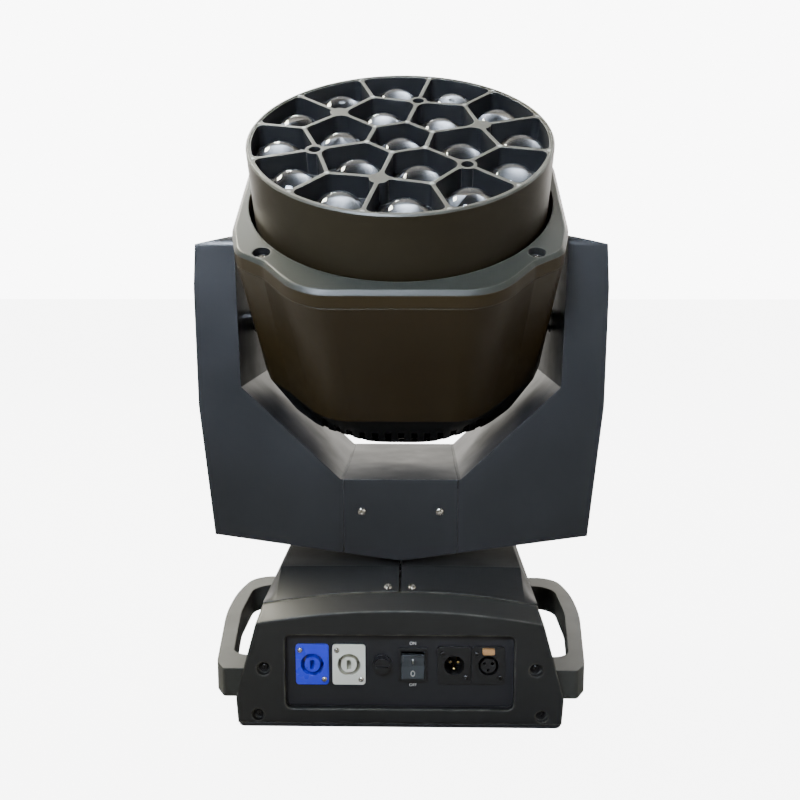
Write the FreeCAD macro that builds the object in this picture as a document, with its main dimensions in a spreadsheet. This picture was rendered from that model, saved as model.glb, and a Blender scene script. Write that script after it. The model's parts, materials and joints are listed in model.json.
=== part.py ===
"""Moving head light with a rotating honeycomb lens head, in millimetres.

The part's frame has +Z up, the pan axis on Z, z = 0 on the underside of the base plate,
and the connector side facing -Y.  The head is modelled upright about its own origin, the
point where the tilt axis crosses the lens axis, and each of its pieces is then placed at
the pivot and leaned towards -Y by the rest tilt.
"""

import FreeCAD, Part
import Sketcher
import math
import os

# ---------------------------------------------------------------- driving dimensions
SIZES = {
    # base housing
    "base_depth": 256.0,
    "base_width": 256.0,
    "waist_swell": 2.6,
    "base_waist_rise": 24.5,
    "face_inset": 15.5,
    "base_face_rise": 85.5,
    "arch_peak": 19.4,
    "plate_thick": 3.0,
    "fascia_depth": 16.0,
    "fascia_wall": 6.0,
    "shoulder_inset": 19.0,
    "shoulder_rise": 95.7,
    "side_wall": 3.0,
    "cap_inset": 29.0,
    "cap_run": 32.0,
    "cap_rise": 115.5,
    "cap_peak": 1.0,
    "cap_lip": 0.8,
    "cap_wall": 3.0,
    "cap_slit": 1.6,
    "seat_gap": 0.2,
    # mounting holes in the base plate
    "mount_span_x": 180.0,
    "mount_span_y": 106.0,
    "mount_hole": 10.5,
    "foot_across": 30.0,
    "foot_drop": 4.0,
    "foot_inset": 24.0,
    # recessed panels
    "window_width": 180.0,
    "window_rise": 61.0,
    "window_middle": 45.5,
    "window_round": 5.0,
    "panel_thick": 1.5,
    "panel_lip": 4.0,
    "screw_well_upper": 10.7,
    "screw_well_lower": 9.7,
    "screw_well_depth": 5.0,
    "well_upper_inset": 21.0,
    "well_upper_z": 48.0,
    "well_lower_inset": 16.0,
    "well_lower_z": 9.5,
    # connectors
    "inlet_x": -69.0,
    "outlet_x": -40.0,
    "fuse_x": -14.0,
    "switch_x": 10.5,
    "signal_in_x": 43.0,
    "signal_out_x": 70.0,
    "socket_z": 50.0,
    "power_flange_width": 26.0,
    "power_flange_rise": 33.0,
    "power_screw_x": 19.0,
    "power_screw_z": 24.0,
    "power_ring": 18.0,
    "power_bore": 12.4,
    "flange_thick": 2.0,
    "socket_depth": 24.0,
    "signal_flange_width": 26.0,
    "signal_flange_rise": 31.0,
    "signal_ring": 20.5,
    "signal_bore": 16.0,
    "switch_width": 22.4,
    "switch_rise": 27.8,
    "rocker_width": 18.0,
    "rocker_rise": 21.5,
    "rocker_throw": 8.0,
    "latch_width": 9.5,
    "latch_rise": 5.0,
    "latch_rise_over": 12.0,
    "latch_gap": 0.25,
    "latch_sill": 0.3,
    "latch_long": 8.0,
    "latch_travel": 1.2,
    "signal_screw_x": 18.7,
    "signal_screw_z": 19.7,
    "rocker_gap": 0.4,
    "rocker_depth": 0.5,
    "rocker_pin": 2.4,
    "rocker_pin_proud": 1.1,
    "fuse_cap": 13.0,
    "fuse_neck": 9.0,
    # display side
    "screen_width": 76.0,
    "screen_rise": 32.0,
    "screen_x": -36.0,
    "button_across": 8.0,
    "button_travel": 1.0,
    "button_first_x": 28.0,
    "button_pitch": 16.0,
    "button_sill": 0.6,
    # handles
    "handle_out": 38.0,
    "handle_front_out": 15.0,
    "handle_inset": 18.0,
    "handle_floor": 16.0,
    "handle_thick": 24.0,
    "handle_bar": 14.0,
    "handle_leg": 26.0,
    # turntable
    "bridge_half_x": 100.0,
    "bridge_half_y": 50.0,
    "bridge_rise": 98.0,
    "bridge_thick": 3.0,
    "tube_across": 50.0,
    "tube_bore": 36.0,
    "bearing_across": 72.0,
    "bearing_thick": 10.0,
    "run_fit": 0.06,
    "pan_wheel": 108.0,
    "pan_wheel_thick": 8.0,
    "drive_wheel": 20.0,
    "motor_side": 42.0,
    "motor_long": 34.0,
    "motor_shaft": 5.0,
    "pan_motor_x": 70.0,
    "belt_thick": 1.4,
    "belt_gap": 0.3,
    "bearing_proud": 5.0,
    "spindle_flange": 84.0,
    "spindle_flange_thick": 6.0,
    "wheel_lip": 2.0,
    "wheel_flange": 1.0,
    "motor_shaft_long": 17.0,
    "supply_inset": 48.0,
    "supply_long": 150.0,
    "supply_wide": 50.0,
    "supply_rise": 38.0,
    # yoke
    "yoke_depth": 155.2,
    "yoke_tip": 120.0,
    "yoke_foot_x": 153.5,
    "yoke_foot_z": 142.0,
    "yoke_knee_x": 164.0,
    "yoke_knee_z": 250.0,
    "yoke_wide_x": 165.0,
    "yoke_wide_z": 345.0,
    "yoke_top_x": 163.0,
    "yoke_top_z": 379.0,
    "yoke_top_slope": 7.0,
    "yoke_mouth_x": 132.0,
    "yoke_fold_x": 129.0,
    "yoke_fold_z": 265.0,
    "yoke_flat_x": 49.0,
    "yoke_flat_z": 188.8,
    "yoke_seam_x": 47.0,
    "yoke_wall": 3.0,
    "yoke_top_round": 9.0,
    "yoke_ceiling": 352.0,
    "fold_share": 0.4,
    "cover_screw_x": 32.0,
    "cover_screw_z": 162.0,
    "frame_plate": 4.0,
    "frame_upright_x": 138.0,
    "frame_half_y": 50.0,
    "frame_floor": 146.0,
    "frame_head": 346.0,
    # tilt drive
    "pivot_rise": 316.0,
    "tilt_rest": 34.0,
    "axle_across": 20.0,
    "axle_start": 115.0,
    "axle_bore": 12.0,
    "axle_flange": 40.0,
    "axle_flange_thick": 2.5,
    "axle_long_right": 42.0,
    "axle_long_left": 30.0,
    "quarter_turn": 90.0,
    "tilt_wheel": 64.0,
    "tilt_wheel_thick": 8.0,
    "tilt_wheel_x": 147.0,
    "tilt_motor_z": 205.0,
    # head cover outline at the bezel
    "head_half_width": 127.0,
    "head_half_depth": 132.5,
    "head_shoulder_x": 69.0,
    "crease_x": 98.0,
    "crease_y": 96.0,
    "cheek_x": 120.0,
    "cheek_y": 81.0,
    "flank_y": 50.0,
    # head cover outline at its lower seam
    "seam_half_width": 121.0,
    "seam_half_depth": 111.0,
    "seam_shoulder_x": 60.0,
    "seam_crease_x": 92.0,
    "seam_crease_y": 77.0,
    "seam_cheek_x": 111.0,
    "seam_cheek_y": 60.0,
    "seam_flank_y": 34.0,
    # rear cover sections
    "belly_half_width": 111.5,
    "belly_half_depth": 92.0,
    "tail_half_width": 68.0,
    "tail_half_depth": 50.0,
    "bezel_top": 122.0,
    "bezel_base": 108.0,
    "seam_level": -20.0,
    "belly_level": -62.0,
    "tail_level": -104.0,
    "head_wall": 3.0,
    "bezel_bore": 239.4,
    "bezel_edge": 3.0,
    "bezel_screw_x": 99.7,
    "bezel_screw_y": 82.5,
    "bezel_well": 13.0,
    "bezel_well_depth": 6.0,
    "belly_round": 62.0,
    "tail_round": 31.0,
    "vent_level": -56.0,
    "vent_rise": 26.0,
    # lens head
    "drum_across": 232.0,
    "drum_wall": 2.6,
    "drum_top": 172.0,
    "drum_base": 66.0,
    "rim_round": 1.2,
    "drum_flange_bore": 218.0,
    "drum_flange_thick": 4.0,
    "grid_drop": 0.5,
    "lens_floor": 152.0,
    "lens_floor_thick": 2.0,
    "lens_across": 39.5,
    "lens_dome": 13.0,
    "lens_plate_thick": 3.0,
    "ring_one": 47.0,
    "ring_two": 92.0,
    "cell_inner": 22.5,
    "cell_web": 63.9,
    "cell_web_turn": 32.7,
    "cell_knot": 66.0,
    "cell_wall": 2.8,
    "cell_rim": 1.2,
    "cell_round": 5.0,
    "knot_round": 9.0,
    "hex_phase": 18.0,
    "boss_across": 14.0,
    "boss_bore": 9.5,
    # zoom drive
    "carriage_thick": 6.0,
    "carriage_bore": 186.0,
    "carriage_across": 226.0,
    "rod_across": 8.0,
    "rod_ring": 100.0,
    "deck_level": -26.0,
    "deck_thick": 4.0,
    "deck_across": 200.0,
    "board_thick": 2.0,
    "board_across": 184.0,
    "rod_half": 9.0,
    "rod_rise": 16.0,
    "emitter_ring_one": 38.0,
    "emitter_ring_two": 76.0,
    "bracket_rise": 24.0,
    "bracket_wide": 56.0,
    # cooling
    "sink_half_x": 60.0,
    "sink_half_y": 48.0,
    "sink_rise": 44.0,
    "fin_pitch": 8.0,
    "fin_thick": 2.0,
    "fan_side": 80.0,
    "fan_thick": 20.0,
    "fan_rim": 2.0,
    "fan_hub": 30.0,
    "sink_spine": 6.0,
    "fan_blades": 7.0,
    "vent_width": 5.0,
    "vent_pitch": 11.0,
}

V = FreeCAD.Vector
doc = FreeCAD.newDocument("MovingHeadLight")
sheet = doc.addObject("Spreadsheet::Sheet", "Sizes")
for row, (alias, start_value) in enumerate(SIZES.items(), start=1):
    sheet.set(f"A{row}", alias)
    sheet.set(f"B{row}", str(start_value))
    sheet.setAlias(f"B{row}", alias)
doc.recompute()


# ---------------------------------------------------------------- sizes that keep their formula
class Size:
    """A number that remembers the sheet formula it comes from."""

    def __init__(self, value, formula):
        self.value = value
        self.formula = formula

    def __add__(self, other):
        return Size(self.value + number(other), f"({self.formula} + {text(other)})")

    def __sub__(self, other):
        return Size(self.value - number(other), f"({self.formula} - {text(other)})")

    def __mul__(self, other):
        return Size(self.value * number(other), f"({self.formula} * {text(other)})")

    def __truediv__(self, other):
        return Size(self.value / number(other), f"({self.formula} / {text(other)})")

    def __rsub__(self, other):
        return Size(number(other) - self.value, f"({text(other)} - {self.formula})")

    def __neg__(self):
        return self * -1

    __radd__ = __add__
    __rmul__ = __mul__


def number(size):
    return size.value if isinstance(size, Size) else float(size)


def text(size):
    return size.formula if isinstance(size, Size) else f"{float(size):.6f}"


def cosine(angle):
    return Size(math.cos(math.radians(number(angle))), f"cos({text(angle)} * 1 deg)")


def sine(angle):
    return Size(math.sin(math.radians(number(angle))), f"sin({text(angle)} * 1 deg)")


class Sheet:
    """The sheet's cells by name, each as a Size."""

    def __getattr__(self, alias):
        return Size(float(sheet.get(alias)), f"Sizes.{alias}")


S = Sheet()


def bind(thing, name, size):
    """Set a property and tie it to the sheet."""
    if "." not in name:
        setattr(thing, name, number(size))
    if isinstance(size, Size):
        thing.setExpression(name, size.formula)


# ---------------------------------------------------------------- bodies and sketches
def new_body(label):
    body = doc.addObject("PartDesign::Body", "Body_" + label)
    body.Label = label
    return body


def origin_item(body, role):
    return next(item for item in body.Origin.OriginFeatures if item.Role == role)


class Drawing:
    """Geometry and rules gathered for one sketch, then handed over together."""

    def __init__(self, sketch):
        self.sketch = sketch
        self.rules = []

    def rule(self, *values, size=None):
        given = values if size is None else values + (number(size),)
        formula = size.formula if isinstance(size, Size) else None
        self.rules.append((Sketcher.Constraint(*given), formula))

    def hold(self, geometry, point, x, y):
        """Dimension one point from the sketch's origin."""
        self.rule("DistanceX", -1, 1, geometry, point, size=x)
        self.rule("DistanceY", -1, 1, geometry, point, size=y)

    def finish(self):
        first = self.sketch.ConstraintCount
        self.sketch.addConstraint([rule for rule, _ in self.rules])
        for index, (_, formula) in enumerate(self.rules, start=first):
            if formula:
                self.sketch.setExpression(f"Constraints[{index}]", formula)


def sketch_on(body, plane, *loops, lift=0):
    """A sketch on an origin plane, lifted along the plane's normal, with closed loops."""
    sketch = body.newObject("Sketcher::SketchObject", "Sketch")
    sketch.AttachmentSupport = (origin_item(body, plane + "_Plane"), [""])
    sketch.MapMode = "FlatFace"
    sketch.AttachmentOffset = FreeCAD.Placement(V(0, 0, number(lift)), FreeCAD.Rotation())
    bind(sketch, "AttachmentOffset.Base.z", lift)
    drawing = Drawing(sketch)
    for draw, *values in loops:
        draw(drawing, *values)
    drawing.finish()
    return sketch


def circle(drawing, x, y, radius):
    centre = V(number(x), number(y), 0)
    index = drawing.sketch.addGeometry(Part.Circle(centre, V(0, 0, 1), number(radius)), False)
    drawing.hold(index, 3, x, y)
    drawing.rule("Radius", index, size=radius)


def polygon(drawing, corners):
    flat = [V(number(x), number(y), 0) for x, y in corners]
    lines = [Part.LineSegment(start, end) for start, end in zip(flat, flat[1:] + flat[:1])]
    sides = drawing.sketch.addGeometry(lines, False)
    for index, (x, y) in enumerate(corners):
        following = sides[(index + 1) % len(corners)]
        drawing.rule("Coincident", sides[index], 2, following, 1)
        drawing.hold(sides[index], 1, x, y)


def box(drawing, x, y, width, rise):
    half_w = width / 2
    half_r = rise / 2
    polygon(drawing, [(x - half_w, y - half_r), (x + half_w, y - half_r),
                      (x + half_w, y + half_r), (x - half_w, y + half_r)])


def rounded(drawing, corners, radii):
    """A closed outline with every corner rounded; each corner point is kept as construction."""
    sketch = drawing.sketch
    count = len(corners)
    if not isinstance(radii, (list, tuple)):
        radii = [radii] * count
    flat = [V(number(x), number(y), 0) for x, y in corners]
    entry, leave, arcs, leftward = [], [], [], []
    for index, corner in enumerate(flat):
        back = (flat[index - 1] - corner).normalize()
        ahead = (flat[(index + 1) % count] - corner).normalize()
        half = back.getAngle(ahead) / 2
        radius = number(radii[index])
        reach = radius / math.tan(half)
        entry.append(corner + back * reach)
        leave.append(corner + ahead * reach)
        middle = corner + (back + ahead).normalize() * (radius / math.sin(half))
        leftward.append(ahead.cross(back).z > 0)
        start, end = entry[-1] - middle, leave[-1] - middle
        if not leftward[-1]:
            start, end = end, start
        arcs.append(Part.ArcOfCircle(Part.Circle(middle, V(0, 0, 1), radius),
                                     math.atan2(start.y, start.x), math.atan2(end.y, end.x)))
    lines = [Part.LineSegment(leave[i], entry[(i + 1) % count]) for i in range(count)]
    sides = sketch.addGeometry(lines, False)
    bends = sketch.addGeometry(arcs, False)
    marks = sketch.addGeometry([Part.Point(corner) for corner in flat], True)
    for index in range(count):
        before, after = sides[index - 1], sides[index]
        near, far = (1, 2) if leftward[index] else (2, 1)
        drawing.rule("Tangent", before, 2, bends[index], near)
        drawing.rule("Tangent", after, 1, bends[index], far)
        drawing.rule("PointOnObject", marks[index], 1, before)
        drawing.rule("PointOnObject", marks[index], 1, after)
        drawing.rule("Radius", bends[index], size=radii[index])
        drawing.hold(marks[index], 1, *corners[index])


def rounded_box(drawing, x, y, width, rise, radius):
    half_w = width / 2
    half_r = rise / 2
    rounded(drawing, [(x - half_w, y - half_r), (x + half_w, y - half_r),
                      (x + half_w, y + half_r), (x - half_w, y + half_r)], radius)


# ---------------------------------------------------------------- features
def pad(body, sketch, length, both=False, backward=False):
    feature = body.newObject("PartDesign::Pad", "Pad")
    feature.Profile = sketch
    feature.SideType = "Symmetric" if both else "One side"
    feature.Reversed = backward
    bind(feature, "Length", length)
    return feature


def pocket(body, sketch, length, both=False, backward=False):
    """Cut along minus the sketch's normal, or along it when backward."""
    feature = body.newObject("PartDesign::Pocket", "Pocket")
    feature.Profile = sketch
    feature.SideType = "Symmetric" if both else "One side"
    feature.Reversed = backward
    bind(feature, "Length", length)
    return feature


def loft(body, kind, *sketches):
    feature = body.newObject("PartDesign::" + kind, kind)
    feature.Profile = sketches[0]
    feature.Sections = list(sketches[1:])
    feature.Ruled = True
    return feature


def turn(body, kind, sketch, axis="Z_Axis"):
    """A full revolution of a sketch about one of the body's origin axes."""
    feature = body.newObject("PartDesign::" + kind, kind)
    feature.Profile = sketch
    feature.ReferenceAxis = (origin_item(body, axis), [""])
    feature.Angle = 360
    return feature


def repeat_round(body, original, count, axis="Z_Axis"):
    """Copies of a feature spread evenly round an origin axis."""
    feature = body.newObject("PartDesign::PolarPattern", "PolarPattern")
    feature.Originals = [original]
    feature.Axis = (origin_item(body, axis), [""])
    feature.Angle = 360
    feature.Occurrences = int(number(count))
    body.Tip = feature
    return feature


def repeat_line(body, original, span, count, axis="X_Axis"):
    """Copies of a feature spread evenly along an origin axis over a span."""
    feature = body.newObject("PartDesign::LinearPattern", "LinearPattern")
    feature.Originals = [original]
    feature.Direction = (origin_item(body, axis), [""])
    bind(feature, "Length", span)
    feature.Occurrences = count
    body.Tip = feature
    return feature


def place(thing, x=0, y=0, z=0, axis=(0, 0, 1), angle=0):
    """Put a piece at x, y, z, turned about an axis, with everything tied to the sheet."""
    base = V(number(x), number(y), number(z))
    thing.Placement = FreeCAD.Placement(base, FreeCAD.Rotation(V(*axis), number(angle)))
    for name, size in (("Base.x", x), ("Base.y", y), ("Base.z", z)):
        if isinstance(size, Size):
            thing.setExpression("Placement." + name, size.formula)
    if isinstance(angle, Size):
        thing.setExpression("Placement.Rotation.Angle", angle.formula)
        for part, amount in zip("xyz", axis):
            thing.setExpression("Placement.Rotation.Axis." + part, f"{float(amount)}")


def in_head(thing):
    """Carry a piece modelled about the head's own origin to the leaning head."""
    place(thing, z=S.pivot_rise, axis=(1, 0, 0), angle=S.tilt_rest)


# ---------------------------------------------------------------- base housing
SIDES = {"left": -1, "right": 1}


def waist_width():
    return S.base_width + S.waist_swell


def shoulder_width():
    """Width of the housing where its sides meet the sloping cap."""
    return S.base_width - S.shoulder_inset * 2


def base_plate():
    body = new_body("base_plate")
    outline = sketch_on(body, "XY", (rounded_box, 0, 0, S.base_width, S.base_depth, 6))
    pad(body, outline, S.plate_thick)
    holes = [(circle, S.mount_span_x / 2 * side, S.mount_span_y / 2 * end, S.mount_hole / 2)
             for side in (-1, 1) for end in (-1, 1)]
    pocket(body, sketch_on(body, "XY", *holes, lift=S.plate_thick), S.plate_thick)


def rubber_feet():
    """Four feet under the plate, clear of the mounting holes."""
    body = new_body("rubber_feet")
    feet = [(circle, (S.base_width / 2 - S.foot_inset) * side,
             (S.base_depth / 2 - S.foot_inset) * end, S.foot_across / 2)
            for side in (-1, 1) for end in (-1, 1)]
    body.AllowCompound = True
    pad(body, sketch_on(body, "XY", *feet), S.foot_drop, backward=True)


def arch_round(width, peak):
    """Radius that rounds an apex over nearly the whole of its two sides."""
    return width * width / peak * 0.23


def face_outline(width, rise):
    """Outline of the housing across X: from the plate up, with a shallow arch on top."""
    right = [(S.base_width / 2, S.plate_thick), (waist_width() / 2, S.base_waist_rise),
             (width / 2, rise)]
    left = [(-x, z) for x, z in reversed(right)]
    corners = right + [(0, rise + S.arch_peak)] + left
    return rounded, corners, [1, 12, 2, arch_round(width, S.arch_peak), 2, 12, 1]


def fascia(label, turned):
    """A moulded end frame: arched face, sloping shoulder and a window for the panel."""
    body = new_body(label)
    front = S.base_depth / 2
    rear = front - S.fascia_depth
    face = sketch_on(body, "XZ", face_outline(S.base_width - S.face_inset * 2,
                                              S.base_face_rise), lift=front)
    back = sketch_on(body, "XZ", face_outline(shoulder_width(), S.shoulder_rise), lift=rear)
    loft(body, "AdditiveLoft", face, back)
    hollow = sketch_on(body, "XZ", (rounded_box, 0, S.window_middle,
                                    S.window_width + S.panel_lip * 4,
                                    S.window_rise + S.panel_lip * 2.5, S.window_round),
                       lift=rear)
    pocket(body, hollow, S.fascia_depth - S.fascia_wall, backward=True)
    window = sketch_on(body, "XZ", (rounded_box, 0, S.window_middle, S.window_width,
                                    S.window_rise, S.window_round), lift=front)
    pocket(body, window, S.fascia_wall)
    half = S.base_width / 2
    wells = [(circle, (half - S.well_upper_inset) * side, S.well_upper_z,
              S.screw_well_upper / 2) for side in (-1, 1)]
    wells += [(circle, (half - S.well_lower_inset) * side, S.well_lower_z,
               S.screw_well_lower / 2) for side in (-1, 1)]
    pocket(body, sketch_on(body, "XZ", *wells, lift=front), S.screw_well_depth)
    place(body, angle=180 if turned else 0)


def side_wall(label, side):
    """A bent side wall between the two fascias, following their outline."""
    body = new_body(label)
    outer = [(S.base_width / 2, S.plate_thick),
             (waist_width() / 2, S.base_waist_rise),
             (shoulder_width() / 2, S.shoulder_rise)]
    inner = [(x - S.side_wall, z) for x, z in reversed(outer)]
    corners = [(x * side, z) for x, z in outer + inner]
    length = S.base_depth - S.fascia_depth * 2
    pad(body, sketch_on(body, "XZ", (polygon, corners)), length, both=True)


def arched(drawing, corners, peak):
    """Straight sides from the first corner to the last, closed by a shallow arc."""
    flat = [V(number(x), number(y), 0) for x, y in corners]
    lines = [Part.LineSegment(start, end) for start, end in zip(flat, flat[1:])]
    sides = drawing.sketch.addGeometry(lines, False)
    half = corners[-1][0]
    radius = (half * half + peak * peak) / (peak * 2)
    middle = flat[-1].y + number(peak) - number(radius)
    start = math.atan2(flat[-1].y - middle, flat[-1].x)
    curve = Part.Circle(V(0, middle, 0), V(0, 0, 1), number(radius))
    arc = drawing.sketch.addGeometry(Part.ArcOfCircle(curve, start, math.pi - start), False)
    for index, side in enumerate(sides):
        drawing.hold(side, 1, *corners[index])
        if index:
            drawing.rule("Coincident", sides[index - 1], 2, side, 1)
    drawing.rule("Coincident", sides[-1], 2, arc, 1)
    drawing.rule("Coincident", arc, 2, sides[0], 1)
    drawing.rule("DistanceY", -1, 1, arc, 1, size=corners[-1][1])
    drawing.rule("DistanceX", -1, 1, arc, 1, size=half)
    drawing.rule("Radius", arc, size=radius)


def cap_section(body, y, rise, peak, less=0):
    """The cap's arched outline across X at one place along its depth."""
    half = shoulder_width() / 2 - less
    low = S.shoulder_rise + S.seat_gap / 2 - less
    edge = low + S.cap_lip
    flat = S.base_width / 2 - S.cap_inset - less
    corners = [(-flat, rise - less), (-half, edge), (-half, low), (half, low), (half, edge),
               (flat, rise - less)]
    return sketch_on(body, "XZ", (arched, corners, peak), lift=-y)


def top_cover(label, side):
    """Half of the arched, sloping cap; the two halves meet at a slit on the centre line."""
    body = new_body(label)
    end = S.base_depth / 2 - S.fascia_depth
    top = end - S.cap_run

    def shell(kind, less):
        ends = [cap_section(body, end * way, S.shoulder_rise + 2.3, S.arch_peak * 0.45, less)
                for way in (-1, 1)]
        tops = [cap_section(body, top * way, S.cap_rise, S.cap_peak, less) for way in (-1, 1)]
        loft(body, kind, ends[0], tops[0])
        loft(body, kind, tops[0], tops[1])
        loft(body, kind, tops[1], ends[1])

    shell("AdditiveLoft", 0)
    shell("SubtractiveLoft", S.cap_wall)
    slit = S.cap_slit / 2 * side
    far = -shoulder_width() * side
    corners = [(slit, -end - 1), (far, -end - 1), (far, end + 1), (slit, end + 1)]
    pocket(body, sketch_on(body, "XY", (polygon, corners), lift=S.cap_rise + S.cap_peak),
           S.shoulder_rise)
    mouth = sketch_on(body, "XY", (circle, 0, 0, S.tube_across / 2 + S.cap_wall),
                      lift=S.cap_rise + S.cap_peak)
    pocket(body, mouth, S.cap_wall * 3)


def handles():
    """Flat carrying loops at the sides of the base: a curved bar on two legs, and its mirror."""
    body = new_body("handle_right")
    half = S.base_depth / 2 - S.handle_inset
    root = shoulder_width() / 2
    reach = S.base_width / 2 + S.handle_out
    hip = S.base_width / 2 + S.handle_front_out
    outer = [(root, -half), (hip, -half), (hip + 8, -half + 14), (reach, 10),
             (reach, half - 44), (reach - 10, half), (root, half)]
    inner = [(root + 4, -half + S.handle_leg), (hip - 3, -half + S.handle_leg),
             (reach - S.handle_bar, 10), (reach - S.handle_bar, half - S.handle_leg),
             (root + 4, half - S.handle_leg)]
    loops = [(rounded, outer, [1, 4, 12, 330, 210, 24, 1]), (rounded, inner, [1, 14, 120, 22, 1])]
    pad(body, sketch_on(body, "XY", *loops, lift=S.handle_floor), S.handle_thick)
    gap = S.seat_gap
    wall = [(root - 20, 0), (S.base_width / 2 + gap, 0),
            (S.base_width / 2 + gap, S.plate_thick),
            (waist_width() / 2 + gap, S.base_waist_rise),
            (shoulder_width() / 2 + gap, S.shoulder_rise), (root - 20, S.shoulder_rise)]
    pocket(body, sketch_on(body, "XZ", (polygon, wall)), S.base_depth, both=True)
    mirror = doc.addObject("Part::Mirroring", "Mirror_handle")
    mirror.Source = body
    mirror.Normal = V(1, 0, 0)
    mirror.Label = "handle_left"


# ---------------------------------------------------------------- connector side
def panel_face():
    """Distance from the centre to the front face of either panel plate."""
    return S.base_depth / 2 - S.fascia_wall


def connector_panel():
    body = new_body("connector_panel")
    plate = sketch_on(body, "XZ", (rounded_box, 0, S.window_middle,
                                   S.window_width + S.panel_lip * 3,
                                   S.window_rise + S.panel_lip * 2, S.window_round),
                      lift=panel_face())
    pad(body, plate, S.panel_thick, backward=True)
    z = S.socket_z
    gap = S.seat_gap
    cuts = [(circle, x, z, S.power_ring / 2 + 2 + gap) for x in (S.inlet_x, S.outlet_x)]
    cuts += [(circle, x, z, S.signal_ring / 2 + gap) for x in (S.signal_in_x, S.signal_out_x)]
    cuts += [(circle, S.fuse_x, z, S.fuse_neck / 2 + 1.5 + gap),
             (box, S.switch_x, z, S.rocker_width + 3 + gap * 2, S.rocker_rise + 5 + gap * 2)]
    pocket(body, sketch_on(body, "XZ", *cuts, lift=panel_face()), S.panel_thick)
    pocket(body, sketch_on(body, "XZ", latch_slot(), lift=panel_face()), S.panel_thick)


def latch_slot():
    """The opening that the latch tab slides in, over the pin holes."""
    gap = S.latch_gap * 2
    return (box, S.signal_out_x, S.socket_z + S.latch_rise_over, S.latch_width + gap,
            S.latch_rise + gap)


def power_socket(label, x):
    """A panel mains connector: flange, barrel, ring-shaped well and a keyed core."""
    body = new_body(label)
    z = S.socket_z
    front = panel_face()
    face = front + S.flange_thick
    pad(body, sketch_on(body, "XZ", (rounded_box, x, z, S.power_flange_width,
                                     S.power_flange_rise, 2.5), lift=front), S.flange_thick)
    pad(body, sketch_on(body, "XZ", (circle, x, z, S.power_ring / 2 + 2), lift=front),
        S.socket_depth, backward=True)
    well = sketch_on(body, "XZ", (circle, x, z, S.power_ring / 2),
                     (circle, x, z, S.power_bore / 2), lift=face)
    pocket(body, well, S.socket_depth - 4)
    key = sketch_on(body, "XZ", (rounded_box, x, z, 3.4, 7.6, 1), lift=face)
    pocket(body, key, S.socket_depth - 6)
    screws = [(circle, x + S.power_screw_x / 2 * way, z - S.power_screw_z / 2 * way, 1.6)
              for way in (-1, 1)]
    pocket(body, sketch_on(body, "XZ", *screws, lift=face), S.flange_thick)


def signal_socket(label, x, pins):
    """A three-pole panel connector, with pins in a well or with three pin holes."""
    body = new_body(label)
    z = S.socket_z
    front = panel_face()
    face = front + S.flange_thick
    pad(body, sketch_on(body, "XZ", (rounded_box, x, z, S.signal_flange_width,
                                     S.signal_flange_rise, 3), lift=front), S.flange_thick)
    pad(body, sketch_on(body, "XZ", (circle, x, z, S.signal_ring / 2), lift=front),
        S.socket_depth, backward=True)
    poles = [(circle, x + 3.6 * math.cos(math.radians(a)), z + 3.6 * math.sin(math.radians(a)),
              1.2) for a in (30, 150, 270)]
    if pins:
        well = sketch_on(body, "XZ", (circle, x, z, S.signal_bore / 2), lift=face)
        pocket(body, well, S.socket_depth - 8)
        floor = face - S.socket_depth + 8
        pad(body, sketch_on(body, "XZ", *poles, lift=floor), S.socket_depth - 10)
    else:
        groove = sketch_on(body, "XZ", (circle, x, z, S.signal_bore / 2),
                           (circle, x, z, S.signal_bore / 2 - 2), lift=face)
        pocket(body, groove, S.socket_depth - 8)
        pocket(body, sketch_on(body, "XZ", *poles, lift=face), S.socket_depth - 10)
        pocket(body, sketch_on(body, "XZ", latch_slot(), lift=face), S.socket_depth - 8)
    screws = [(circle, x + S.signal_screw_x / 2 * way, z - S.signal_screw_z / 2 * way, 1.6)
              for way in (-1, 1)]
    pocket(body, sketch_on(body, "XZ", *screws, lift=face), S.flange_thick)


def latch_tab():
    """The release tab over the pin holes; it is pushed in along +Y."""
    body = new_body("latch_tab")
    z = S.socket_z + S.latch_rise_over
    face = panel_face() + S.flange_thick
    outline = (rounded_box, S.signal_out_x, z, S.latch_width, S.latch_rise, 0.8)
    proud = S.latch_travel + S.latch_sill
    pad(body, sketch_on(body, "XZ", outline, lift=face + proud), proud + S.latch_long,
        backward=True)


def fuse_holder():
    body = new_body("fuse_holder")
    front = panel_face()
    bore = S.fuse_neck / 2 + S.run_fit
    pad(body, sketch_on(body, "XZ", (circle, S.fuse_x, S.socket_z, S.fuse_cap / 2 + 1.5),
                        lift=front), S.flange_thick)
    pad(body, sketch_on(body, "XZ", (circle, S.fuse_x, S.socket_z, S.fuse_neck / 2 + 1.5),
                        lift=front), S.socket_depth, backward=True)
    pocket(body, sketch_on(body, "XZ", (circle, S.fuse_x, S.socket_z, bore),
                           lift=front + S.flange_thick), S.socket_depth)


def fuse_cap():
    """The slotted cap of the fuse holder, turned to release it."""
    body = new_body("fuse_cap")
    face = panel_face() + S.flange_thick + S.seat_gap
    spot = (S.fuse_x, S.socket_z)
    pad(body, sketch_on(body, "XZ", (circle, *spot, S.fuse_cap / 2), lift=face), 3)
    pad(body, sketch_on(body, "XZ", (circle, *spot, S.fuse_neck / 2), lift=face), 14,
        backward=True)
    pocket(body, sketch_on(body, "XZ", (box, *spot, S.fuse_cap - 3, 1.6), lift=face + 3), 1.5)


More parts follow.
